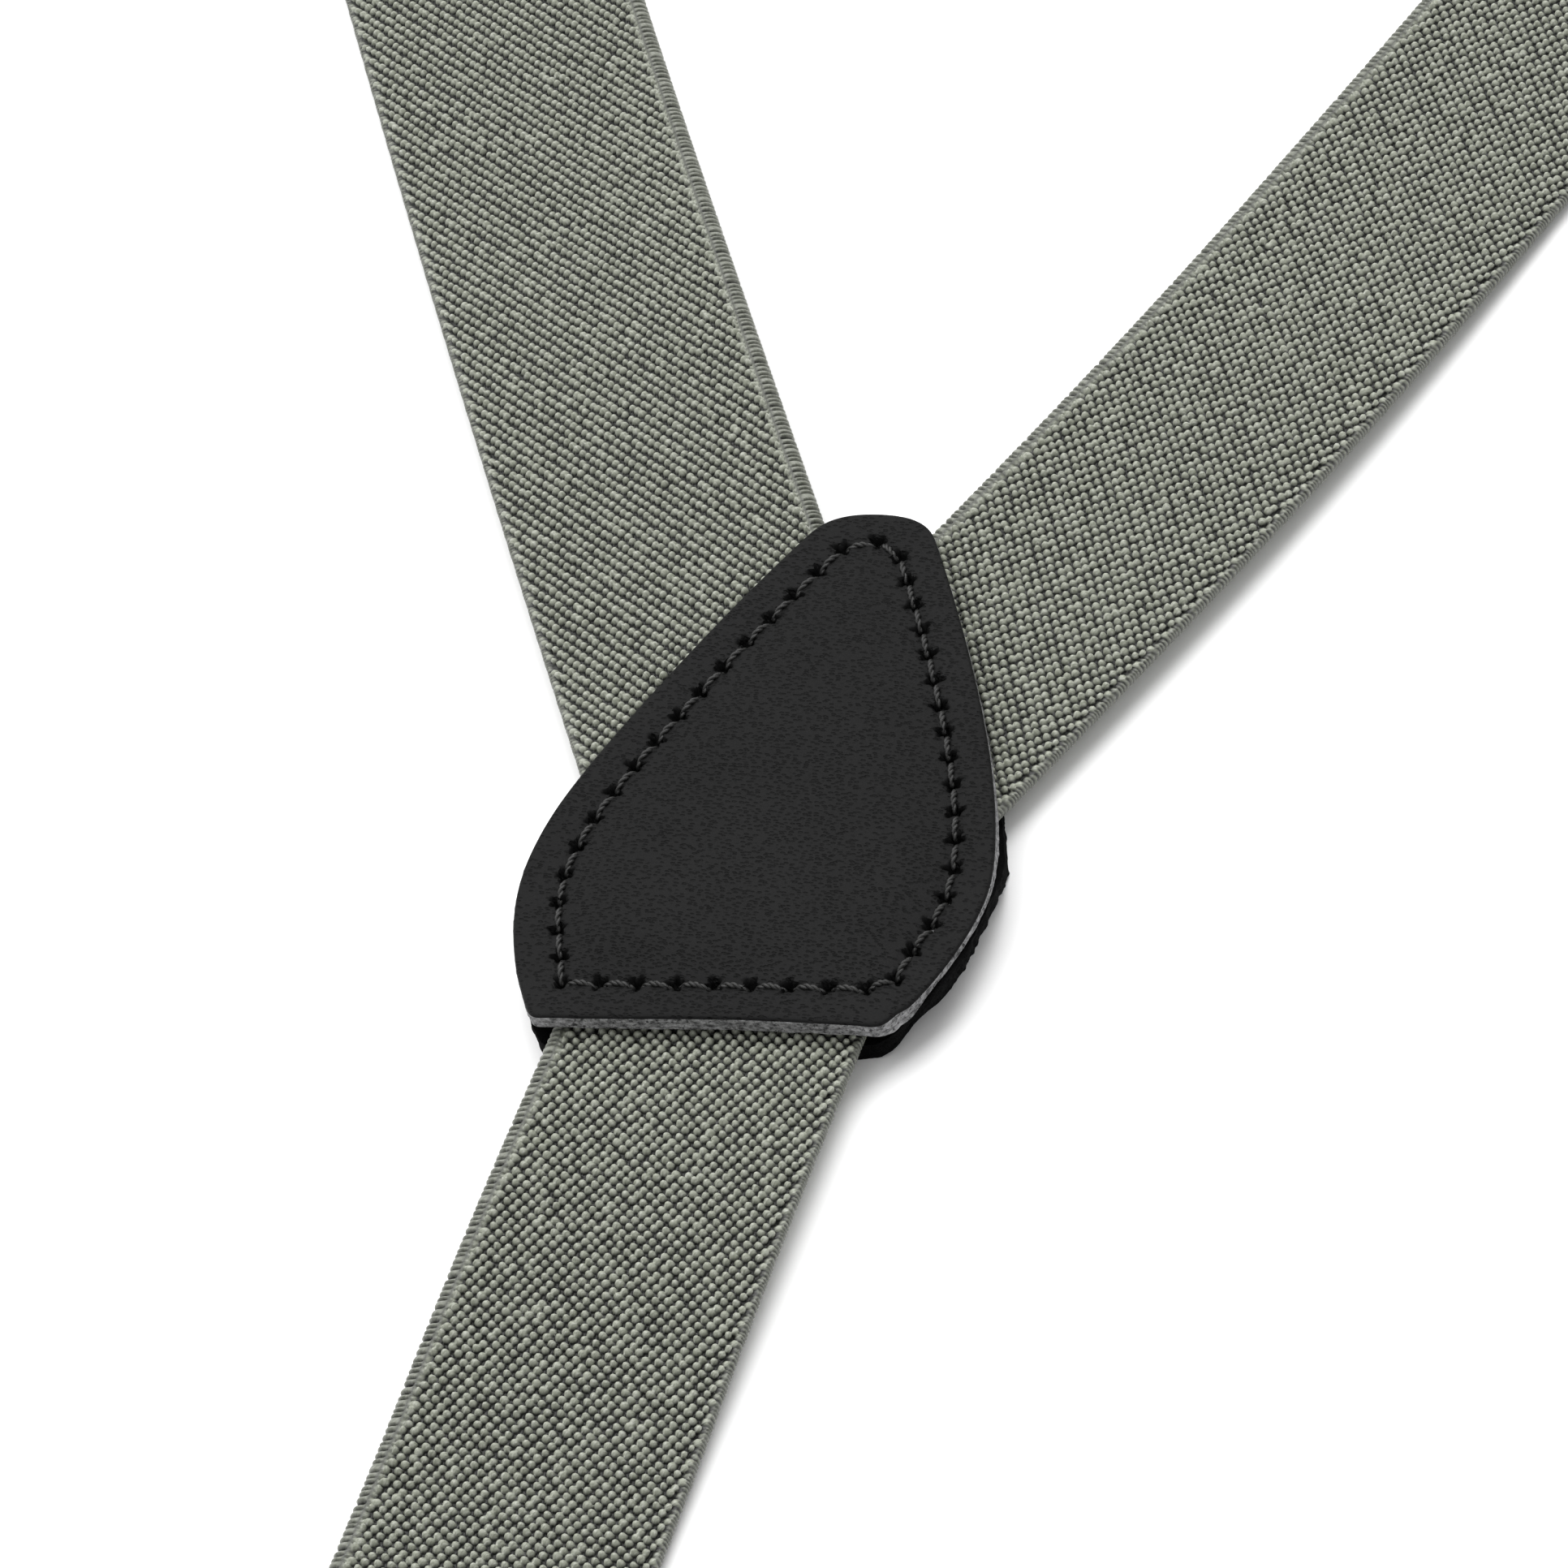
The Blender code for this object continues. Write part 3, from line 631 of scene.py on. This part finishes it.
def grip_material():
    """Moulded black plastic with a fine matt texture."""
    made = Shader("grip_black", Specular_IOR_Level=0.4)
    place = made.place()
    fine = made.noise(place, 7.0, 4.0, 0.6)
    broad = made.noise(place, 0.5, 2.0, 0.5)
    colour = made.mix(made.ramp(broad, 0.35, 0.65), (0.012, 0.012, 0.013, 1),
                      (0.024, 0.024, 0.025, 1))
    made.set(Base_Color=colour, Roughness=made.ramp(fine, 0.3, 0.7, 0.48, 0.68))
    made.set(Normal=made.bump(fine, 0.25, 0.00010))
    return made.material


def floor_material():
    """White studio paper with the faintest tooth."""
    made = Shader("studio_paper", Roughness=0.95, Specular_IOR_Level=0.1)
    tooth = made.noise(made.place(), 0.9, 3.0, 0.6)
    made.set(Base_Color=made.mix(tooth, (0.93, 0.93, 0.93, 1), (0.95, 0.95, 0.95, 1)))
    return made.material


SAGE = {(slant, near): webbing_material(slant, near) for slant in (1, -1) for near in (True, False)}
LEATHER = leather_material()
RAW_EDGE = raw_edge_material()
BACKING = backing_material()
THREAD = thread_material()
STEEL = steel_material()
GRIP = grip_material()


# ---- the straps

def sewn_webbing(piece, slant, near, node):
    """Gives a length of webbing its material, in a new slot, and hides the CAD node it stands for."""
    piece.data.materials.append(SAGE[slant, near])
    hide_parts(node)


BLEND_LEAD = 120.0              # webbing above an adjuster that gives when it slides
BLEND_SPARE = 8.0               # how much longer than that the last length is
NEAR_PIECES = (71.0, 142.0)     # where the finely woven lengths end, from the patch
BACK_NEAR_PIECES = (60.0, 100.0)
FAR_PIECE = 184.0               # the most that any other length measures


def build_front(name, slant, seed):
    """A front strap down to its adjuster, in lengths, and its loop below that."""
    side, start, heading, bends, run, leg = FRONTS[name]
    path = trace(from_patch(start), heading, front_moves(side, heading, bends, run, leg))
    weave = Weave(seed, slant, -slant)
    total = (len(path[0]) - 1) * FINE
    last_start = total - BLEND_LEAD - BLEND_SPARE
    count = math.ceil((last_start - NEAR_PIECES[-1]) / FAR_PIECE)
    marks = [0.0, *NEAR_PIECES, *np.linspace(NEAR_PIECES[-1], last_start, count + 1)[1:], total]
    for i, (first, last) in enumerate(zip(marks, marks[1:])):
        near = last <= NEAR_PIECES[-1]
        piece, length = woven("webbing_%s_%d" % (name, i + 1), path, first, last, weave, near)
        if i == 0:
            mitre = PATCH_AT[0] - side * MITRE_GAP
            end = PATCH_AT[1] + STRAP_END_LINE + MITRE_GAP
            cut_straight(piece, [((mitre, 0, 0), (side, 0, 0)), ((0, end, 0), (0, -1, 0))])
        sewn_webbing(piece, slant, near, "front_strap_" + name)
        if last == total:
            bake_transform(piece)
        else:
            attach(piece, "straps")
    loop = trace(path[0][-1] + np.array((0, -GAP, 0)), DOWN, loop_moves())
    loop_end = (len(loop[0]) - 1) * FINE
    piece, length = woven("webbing_loop_" + name, loop, 0.0, loop_end, weave, False, total)
    sewn_webbing(piece, slant, False, "strap_loop_" + name)
    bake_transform(piece)


def build_back(seed):
    path = trace(from_patch(BACK_START), BACK_HEADING, back_moves())
    weave = Weave(seed, 1, 1)
    marks = [0.0, *BACK_NEAR_PIECES, (len(path[0]) - 1) * FINE]
    for i, (first, last) in enumerate(zip(marks, marks[1:])):
        near = last <= BACK_NEAR_PIECES[-1]
        piece, length = woven("webbing_back_%d" % (i + 1), path, first, last, weave, near)
        if i == 0:
            end = PATCH_AT[1] + STRAP_END_LINE - MITRE_GAP
            cut_straight(piece, [((0, end, 0), (0, 1, 0))])
        sewn_webbing(piece, 1, near, "back_strap")
        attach(piece, "straps")


build_front("left", -1, 11)
build_front("right", 1, 23)
build_back(37)


# ---- the patch

TIP_Y = 30.0
TIP_SIDE = (5.2, 27.6)
SHOULDER = (19.0, -10.0)
CORNER = (14.0, -26.4)
LEATHER_TOP = 5.5
LEATHER_BOTTOM = 3.9
BOTTOM_RISE = 0.6               # how much higher the bottom edge is cut on the right
SEAM_INSET = {-1: 3.6, 1: 3.15}     # of its left and right side from the outline
SEAM_LEFT = (-12.4, -22.75)     # corners of its bottom row; the right one is cut off
SEAM_RIGHT = (12.0, -22.0)
SEAM_RIGHT_TOP = (14.0, -20.7)
STITCH = 3.0
PUFF = 0.38                     # rise of the leather inside the seam
GROOVE, GROOVE_WIDTH = 0.16, 0.62   # dip of the leather along the seam
RIM_DROP, RIM_WIDTH = 0.22, 0.40    # rounding of the cut rim
PIT_DEPTH, PIT_RADIUS = 0.80, 0.56  # a puncture
LIP_HEIGHT, LIP_RADIUS = 0.08, 0.80     # the lip pushed up round it
HOLE_RADIUS = 0.78              # how far out its painted shade reaches
DROOP = 0.45                    # how far the leather sinks at its free rims
SKIVE = 0.95                    # how much thinner it is along its sides
BOTTOM_SKIVE = 0.35
BACKING_TOP = 1.5
BACKING_RISE = 1.7              # the backing's bottom corner is cut higher on the right
LEATHER_RAGGED, BACKING_RAGGED = 0.05, 0.09     # unevenness of the cut edges
LEATHER_GRID, BACKING_GRID = 0.42, 0.9          # spacing of their meshes
RIM_LIFT = 2.3                  # height of the backing's free rim above the floor


def bezier(a, b, c, d, steps):
    t = np.arange(1, steps + 1)[:, None] / steps
    u = 1 - t
    a, b, c, d = (np.array(p, float) for p in (a, b, c, d))
    return u ** 3 * a + 3 * u * u * t * b + 3 * u * t * t * c + t ** 3 * d


def half_outline():
    """The patch's right half, from the tip to the bottom corner."""
    tip = bezier((0, TIP_Y), (2.6, TIP_Y), (4.2, 29.4), TIP_SIDE, 16)
    side = bezier(TIP_SIDE, (10.3, 17.4), (18.5, -0.8), SHOULDER, 60)
    waist = bezier(SHOULDER, (19.2, -15.5), (16.8, -21.9), CORNER, 30)
    return np.concatenate([[(0.0, TIP_Y)], tip, side, waist])


def resampled(points, spacing, closed=True):
    """The path's points again, evenly spaced."""
    if closed:
        points = np.concatenate([points, points[:1]])
    lengths = np.concatenate([[0], np.cumsum(np.linalg.norm(np.diff(points, axis=0), axis=1))])
    count = max(2, int(round(lengths[-1] / spacing)))
    at = np.linspace(0, lengths[-1], count + 1)
    if closed:
        at = at[:-1]
    return np.stack([np.interp(at, lengths, points[:, k]) for k in range(2)], -1)


def whole(half):
    left = half[::-1] * (-1, 1)
    return np.concatenate([half, left[np.abs(left[:, 0]) > 1e-6]])


def rounded_corners(loop, reach, times):
    """Softens the corners of a closed, evenly spaced loop."""
    for _ in range(times):
        loop = (1 - reach) * loop + reach * (np.roll(loop, 1, axis=0) + np.roll(loop, -1, axis=0)) / 2
    return loop


def distance_to(points, path):
    """How far each point is from a closed path; done in blocks to save memory."""
    along = np.roll(path, -1, axis=0) - path
    square = (along ** 2).sum(1)
    best = []
    for first in range(0, len(points), 2000):
        block = points[first:first + 2000, None] - path[None]
        t = np.clip((block * along[None]).sum(-1) / square[None], 0, 1)
        best.append(np.linalg.norm(block - t[..., None] * along[None], axis=-1).min(1))
    return np.concatenate(best)


def trimmed(outline):
    """The bottom edge, not cut quite square: it rises towards the right."""
    rise = BOTTOM_RISE * smooth((outline[:, 0] + CORNER[0]) / 20) * smooth((-23 - outline[:, 1]) / 2)
    return outline + np.stack([0 * rise, rise], -1)


OUTLINE = trimmed(rounded_corners(resampled(whole(half_outline()), 0.22), 0.6, 12))


def right_of(path, closed=True):
    """Unit normals of a flat path, to the right of its heading."""
    if closed:
        along = np.roll(path, -1, axis=0) - np.roll(path, 1, axis=0)
    else:
        along = np.gradient(path, axis=0)
    normal = np.stack([along[:, 1], -along[:, 0]], -1)
    return normal / np.linalg.norm(normal, axis=1, keepdims=True)


def seam_side(side, corner):
    """Half of the seam, from the tip down to its corner on that side."""
    half = half_outline()
    moved = half + right_of(half, closed=False) * SEAM_INSET[side]
    moved = moved[(moved[:, 0] > 0.3) & (moved[:, 1] > corner[1] + 2.0)]
    moved = np.concatenate([[(0.0, TIP_Y - SEAM_INSET[1])], moved])
    return np.concatenate([moved * (side, 1), [corner]])


def seam_points():
    """Punctures of the seam: up the left side, down the right one and back along the bottom."""
    left = seam_side(-1, SEAM_LEFT)
    right = seam_side(1, SEAM_RIGHT_TOP)
    sides = resampled(np.concatenate([left[::-1], right[1:]]), STITCH, closed=False)
    row = resampled(np.array([SEAM_RIGHT, SEAM_LEFT]), STITCH, closed=False)
    return np.concatenate([sides, row[:-1]])


PUNCTURES = seam_points()
SEAM = resampled(PUNCTURES, 0.16)


def corner_droop(points):
    """0 where straps lie under the leather, 1 at the free rims below the front straps."""
    aside = smooth((np.abs(points[:, 0]) - 11.8) / 5.0)
    return aside * smooth((-3.0 - points[:, 1]) / 9.0)


def leather_underside(points):
    top = LEATHER_TOP - DROOP * corner_droop(points)
    thin = SKIVE * corner_droop(points) * smooth((points[:, 1] + 25.5) / 5.5)
    thin = np.maximum(thin, BOTTOM_SKIVE * smooth((-24.5 - points[:, 1]) / 1.5))
    return top - (LEATHER_TOP - LEATHER_BOTTOM) + thin


def leather_height(points):
    """Top of the outer leather at flat points, and how much of a puncture is there, which the
    leather's colour darkens as painted shade.
    """
    rim = distance_to(points, OUTLINE)
    seam = distance_to(points, SEAM)
    holes = np.full(len(points), 1e9)
    for i, hole in enumerate(PUNCTURES):
        away = points - hole
        angle = np.arctan2(away[:, 1], away[:, 0])
        star = 1 + 0.26 * np.cos(5 * angle + i * 2.1) + 0.14 * np.cos(3 * angle + i * 1.3)
        holes = np.minimum(holes, np.linalg.norm(away, axis=1) / star)
    within = within_path(points, SEAM)
    puff = PUFF * smooth(seam / 5.0) * within
    groove = -GROOVE * np.exp(-(seam / GROOVE_WIDTH) ** 2)
    outer = 0.05 * smooth(seam / 1.5) * (1 - within)
    edge = -RIM_DROP * (1 - np.sqrt(1 - (1 - np.clip(rim / RIM_WIDTH, 0, 1)) ** 2))
    lip = LIP_HEIGHT * np.exp(-((holes - LIP_RADIUS) / 0.18) ** 2)
    pit = -PIT_DEPTH * np.exp(-(holes / PIT_RADIUS) ** 4)
    droop = -DROOP * corner_droop(points)
    wave = 0.08 * np.sin(points[:, 0] * 0.21 + 1.0) * np.sin(points[:, 1] * 0.17 + 0.4)
    z = LEATHER_TOP + puff + groove + outer + edge + lip + pit + droop + wave
    return z, np.exp(-(holes / HOLE_RADIUS) ** 4)


def within_path(points, path):
    """1 inside a closed flat path, 0 outside it, by counting crossings."""
    x, y = points[:, 0], points[:, 1]
    count = np.zeros(len(points), int)
    for a, b in zip(path, np.roll(path, -1, axis=0)):
        crosses = (a[1] > y) != (b[1] > y)
        at = a[0] + (y - a[1]) / (b[1] - a[1] + 1e-12) * (b[0] - a[0])
        count += crosses & (x < at)
    return (count % 2).astype(float)


def filled(outline, extra):
    """Triangles over a flat outline that use the extra points inside it."""
    count = len(outline)
    points = [Vector(p) for p in np.concatenate([outline, extra])]
    edges = [(i, (i + 1) % count) for i in range(count)]
    made = geometry.delaunay_2d_cdt(points, edges, [], 1, 1e-5)
    return np.array([tuple(p) for p in made[0]]), np.array(made[2])


def offset_rings(path, offsets):
    """Points of copies of a closed path, each that far to its right."""
    return np.concatenate([path + right_of(path) * offset for offset in offsets])


def leather_points():
    """Points inside the outline: fine by the seam and the rim, coarser in the middle."""
    x, y = np.meshgrid(np.arange(-19, 19, LEATHER_GRID), np.arange(-27, 31, LEATHER_GRID))
    x = x + LEATHER_GRID / 2 * (np.round(y / LEATHER_GRID) % 2)
    grid = np.stack([x.ravel(), y.ravel()], -1)
    grid = grid[distance_to(grid, SEAM) > 1.25]
    bands = offset_rings(SEAM, np.linspace(-1.15, 1.15, 15))
    rim = offset_rings(OUTLINE, (0.10, 0.22, 0.38, 0.60))
    extra = np.concatenate([grid, bands, rim])
    inside = within_path(extra, OUTLINE) > 0
    extra = extra[inside & (distance_to(extra, OUTLINE) > 0.07)]
    keys = np.round(extra / 0.09).astype(int)
    _, chosen = np.unique(keys, axis=0, return_index=True)
    return extra[np.sort(chosen)]


def slab(name, outline, extra, top, wall, bottom_z, materials):
    """A closed piece: a relief top, a wall of several rows, and an underside.

    Each row of the wall is its share of the way down and how far its points stand out.
    """
    flat, triangles = filled(outline, extra)
    heights, hole = top(flat)
    rim = len(outline)
    points = [np.column_stack([flat + PATCH_AT, heights])]
    holes = [hole]
    faces = [tuple(t) for t in triangles]
    kinds = [0] * len(faces)
    ring = np.arange(rim)
    rim_height = heights[:rim]
    start = len(flat)
    for share, push in wall:
        z = rim_height + (bottom_z(flat[:rim]) - rim_height) * share
        around = outline + PATCH_AT - right_of(outline) * push[:, None]
        points.append(np.column_stack([around, z]))
        holes.append(np.zeros(rim))
        after = np.arange(start, start + rim)
        for i in range(rim):
            j = (i + 1) % rim
            faces.append((ring[i], after[i], after[j], ring[j]))
            kinds.append(1)
        ring = after
        start += rim
    _, under_triangles = filled(outline, np.zeros((0, 2)))
    for t in under_triangles:
        faces.append(tuple(ring[i] for i in t[::-1]))
        kinds.append(1)
    points = np.concatenate(points)
    data = bpy.data.meshes.new(name)
    data.from_pydata([tuple(p) for p in points * MM], [], [tuple(int(i) for i in f) for f in faces])
    for material in materials:
        data.materials.append(material)
    data.polygons.foreach_set("material_index", kinds)
    data.attributes.new("hole", "FLOAT", "POINT").data.foreach_set(
        "value", np.concatenate(holes).astype(np.float32))
    data.shade_smooth()
    shape = bmesh.new()
    shape.from_mesh(data)
    bmesh.ops.recalc_face_normals(shape, faces=shape.faces)
    shape.to_mesh(data)
    shape.free()
    data.set_sharp_from_angle(angle=math.radians(50))
    return linked(name, data)


def ragged(draw, count):
    """Unevenness round a closed cut: random, and smoothed along it."""
    rough = draw.normal(0, 1, count)
    for _ in range(2):
        rough = (rough + np.roll(rough, 1) + np.roll(rough, -1)) / 3
    return rough


def build_patch():
    draw = np.random.default_rng(5)
    rim = len(OUTLINE)
    wall = [(share, ragged(draw, rim) * LEATHER_RAGGED)
            for share in (0.08, 0.2, 0.34, 0.48, 0.62, 0.76, 0.9, 1.0)]
    piece = slab("leather_patch", OUTLINE, leather_points(), leather_height, wall,
                 leather_underside, [LEATHER, RAW_EDGE])
    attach(piece, "straps")
    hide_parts("patch_outer")

    outline = OUTLINE * 0.995 + (0.15, -0.25)
    rise = BACKING_RISE * smooth((outline[:, 0] + 2) / 16) * smooth((-13 - outline[:, 1]) / 10)
    outline = outline + np.stack([0.6 * rise * smooth((outline[:, 1] + 26) / 4), rise], -1)
    outline = outline * (1 + 0.004 * ragged(draw, rim)[:, None])

    def felt(flat):
        lift = corner_droop(flat)
        z = BACKING_TOP + (leather_underside(flat) - GAP / 2 - BACKING_TOP) * lift
        z = z + 0.05 * np.sin(flat[:, 0] * 3.1) * np.sin(flat[:, 1] * 2.7)
        return z, np.zeros(len(flat))

    def felt_underside(flat):
        lift = corner_droop(flat)
        thin = smooth((flat[:, 1] + 25.5) / 5.5) * lift
        return 0.02 + RIM_LIFT * lift + 0.9 * thin

    x, y = np.meshgrid(np.arange(-18, 18.5, BACKING_GRID), np.arange(-27, 30, BACKING_GRID))
    grid = np.stack([x.ravel(), y.ravel()], -1)
    grid = grid[(within_path(grid, outline) > 0) & (distance_to(grid, outline) > 0.5)]
    wall = [(share, ragged(draw, rim) * BACKING_RAGGED)
            for share in (0.12, 0.3, 0.5, 0.7, 0.88, 1.0)]
    piece = slab("backing_patch", outline, grid, felt, wall, felt_underside,
                 [BACKING, BACKING])
    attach(piece, "straps")
    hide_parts("patch_backing")


# ---- thread

PLY_RADIUS = 0.16
PLY_SIDES = 7
PLY_SPREAD = 0.125              # how far a ply lies from the thread's middle
STITCH_DIVE = 0.62              # depth of a stitch's ends
STITCH_ARCH = 0.74              # height of its middle above them
TACK_PITCH = 0.42
TACK_SINK = 0.25


def ply_tube(centres):
    """Points of a thin round tube with pointed ends through the centres."""
    along = np.gradient(centres, axis=0)
    along /= np.linalg.norm(along, axis=1, keepdims=True)
    side = np.cross(along, (0, 0, 1.0))
    side /= np.linalg.norm(side, axis=1, keepdims=True)
    up = np.cross(side, along)
    angle = np.arange(PLY_SIDES) / PLY_SIDES * 2 * math.pi
    radii = np.full(len(centres), PLY_RADIUS)
    radii[0] = radii[-1] = PLY_RADIUS * 0.35
    return centres[:, None] + radii[:, None, None] * (
        np.cos(angle)[None, :, None] * side[:, None] + np.sin(angle)[None, :, None] * up[:, None])


def tubes_object(name, tubes):
    """One object made of many capped tubes."""
    points, flats, starts = [], [], []
    base = corner = 0
    for tube in tubes:
        rows, columns = tube.shape[:2]
        flat, start = capped_faces(rows, columns)
        points.append(tube.reshape(-1, 3))
        flats.append(flat + base)
        starts.append(start + corner)
        base += rows * columns
        corner += len(flat)
    return mesh_object(name, np.concatenate(points), np.concatenate(flats),
                       np.concatenate(starts), {})


def stitch(start, end, level, turns, phase, steps=22):
    """The two twisted plies of one stitch that dives below its level at both ends."""
    t = np.linspace(0, 1, steps)[:, None]
    flat_along = (end - start) / np.linalg.norm(end - start)
    across = np.array((-flat_along[1], flat_along[0]))
    centre = start + (end - start) * (0.07 + 0.86 * t) + across * 0.10 * np.cos(math.pi * t)
    arch = np.sin(math.pi * t[:, 0]) ** 0.75
    middle = np.column_stack([centre, level - STITCH_DIVE + STITCH_ARCH * arch])
    plies = []
    for ply in (0, 1):
        angle = 2 * math.pi * (turns * t[:, 0]) + math.pi * ply + phase
        spread = PLY_SPREAD * (0.35 + 0.65 * arch)
        offset = (np.cos(angle) * spread)[:, None] * np.append(across, 0) \
            + (np.sin(angle) * spread * 0.85)[:, None] * np.array((0, 0, 1.0))
        plies.append(ply_tube(middle + offset))
    return plies


def build_seam():
    draw = np.random.default_rng(8)
    tubes = []
    middles = (PUNCTURES + np.roll(PUNCTURES, -1, axis=0)) / 2
    levels = leather_height(middles)[0]
    for i, start in enumerate(PUNCTURES):
        end = PUNCTURES[(i + 1) % len(PUNCTURES)]
        tubes += stitch(start + PATCH_AT, end + PATCH_AT, levels[i],
                        2.2 + draw.normal(0, 0.15), draw.uniform(0, 6.28))
    piece = tubes_object("patch_seam", tubes)
    piece.data.materials.append(THREAD)
    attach(piece, "straps")
    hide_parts("patch_thread")


def build_tack(name, body, node):
    """A bar tack: a dense zigzag on top of the doubled webbing."""
    low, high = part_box(node)
    x0, y0, z1 = low.x / MM, low.y / MM, high.z / MM
    x1, y1 = high.x / MM, high.y / MM
    draw = np.random.default_rng(len(name))
    passes = int((x1 - x0) / TACK_PITCH)
    tubes = []
    for i in range(passes):
        x = x0 + (i + 0.5) * (x1 - x0) / passes
        up = 1 if i % 2 else -1
        a = np.array((x - 0.2 + draw.normal(0, 0.02), y0 if up > 0 else y1))
        b = np.array((x + 0.2 + draw.normal(0, 0.02), y1 if up > 0 else y0))
        tubes += stitch(a, b, z1 - TACK_SINK, 1.6, draw.uniform(0, 6.28), 12)
    piece = tubes_object(name, tubes)
    piece.data.materials.append(THREAD)
    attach(piece, body)
    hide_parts(node)


build_patch()
build_seam()
build_tack("tack_back", "straps", "bar_tack_back")
for which in ("left", "right"):
    build_tack("tack_" + which, "adjuster_" + which, "bar_tack_" + which)


# ---- hardware

HARD = {"nickel_steel": STEEL, "grip_plastic": GRIP}


def finish_hardware(node):
    """Gives a CAD node of metal or plastic its material and slightly rounded edges."""
    for slot in node.material_slots:
        for kind, finish in HARD.items():
            if slot.material and slot.material.name.startswith(kind):
                slot.material = finish
                if not any(m.type == "BEVEL" for m in node.modifiers):
                    bevel = node.modifiers.new("soft_edges", "BEVEL")
                    bevel.width = 0.16 * MM
                    bevel.segments = 2
                    bevel.limit_method = "ANGLE"
                    bevel.angle_limit = math.radians(35)
                    bevel.harden_normals = True


for name, node in sorted(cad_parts.items()):
    finish_hardware(node)


# ---- studio

FLOOR_RADIUS = 1.2              # metres
FIELD_OF_VIEW = 9.680277        # degrees, over the width of the frame
CAMERA_FROM_PATCH = (227.421, -478.754, 491.078)
CAMERA_RIGHT = (0.94843937, 0.24595826, -0.19991822)
CAMERA_UP = (-0.03492023, 0.707985, 0.70536361)
SOFTBOXES = {                   # place in metres, side in metres, watts
    "key": ((-0.55, 0.42, 1.45), 2.4, 42),
    "fill": ((0.9, -1.1, 1.5), 1.2, 4),
    "rim": ((0.45, 0.9, 1.5), 1.0, 10),
}
SKY_LIGHT = 0.58                # strength of the white surroundings as light
SKY_SEEN = 1.0                  # and as the camera sees them


def build_floor():
    data = bpy.data.meshes.new("floor")
    rim = [(FLOOR_RADIUS * math.cos(math.radians(a)), FLOOR_RADIUS * math.sin(math.radians(a)), 0)
           for a in range(0, 360, 3)]
    data.from_pydata(rim, [], [tuple(range(len(rim)))])
    data.materials.append(floor_material())
    linked("floor", data)


def build_softboxes():
    target = Vector((PATCH_AT[0] * MM, PATCH_AT[1] * MM, 0))
    for name, (place, size, power) in SOFTBOXES.items():
        data = bpy.data.lights.new(name, "AREA")
        data.shape = "RECTANGLE"
        data.size = data.size_y = size
        data.energy = power
        lamp = linked(name, data)
        lamp.location = place
        lamp.rotation_euler = (target - Vector(place)).to_track_quat("-Z", "Y").to_euler()


def build_camera():
    data = bpy.data.cameras.new("camera")
    data.sensor_width = 36.0
    data.lens = data.sensor_width / 2 / math.tan(math.radians(FIELD_OF_VIEW / 2))
    data.clip_start, data.clip_end = 0.05, 20
    camera = linked("camera", data)
    right, up = Vector(CAMERA_RIGHT), Vector(CAMERA_UP)
    camera.location = (Vector(CAMERA_FROM_PATCH) + Vector((*PATCH_AT, LEATHER_TOP))) * MM
    camera.rotation_euler = Matrix((right, up, right.cross(up))).transposed().to_euler()
    bpy.context.scene.camera = camera


def build_surroundings():
    """White all round, as bright as the floor where the camera sees it and dimmer as a light."""
    world = bpy.data.worlds.new("studio")
    world.use_nodes = True
    nodes, links = world.node_tree.nodes, world.node_tree.links
    background = nodes["Background"]
    background.inputs["Color"].default_value = (1, 1, 1, 1)
    seen = nodes.new("ShaderNodeLightPath")
    strength = nodes.new("ShaderNodeMapRange")
    strength.inputs["To Min"].default_value = SKY_LIGHT
    strength.inputs["To Max"].default_value = SKY_SEEN
    links.new(seen.outputs["Is Camera Ray"], strength.inputs["Value"])
    links.new(strength.outputs["Result"], background.inputs["Strength"])
    bpy.context.scene.world = world


build_floor()
build_camera()
build_softboxes()
build_surroundings()
bpy.context.scene.view_settings.view_transform = "Standard"
bpy.context.scene.view_settings.look = "None"
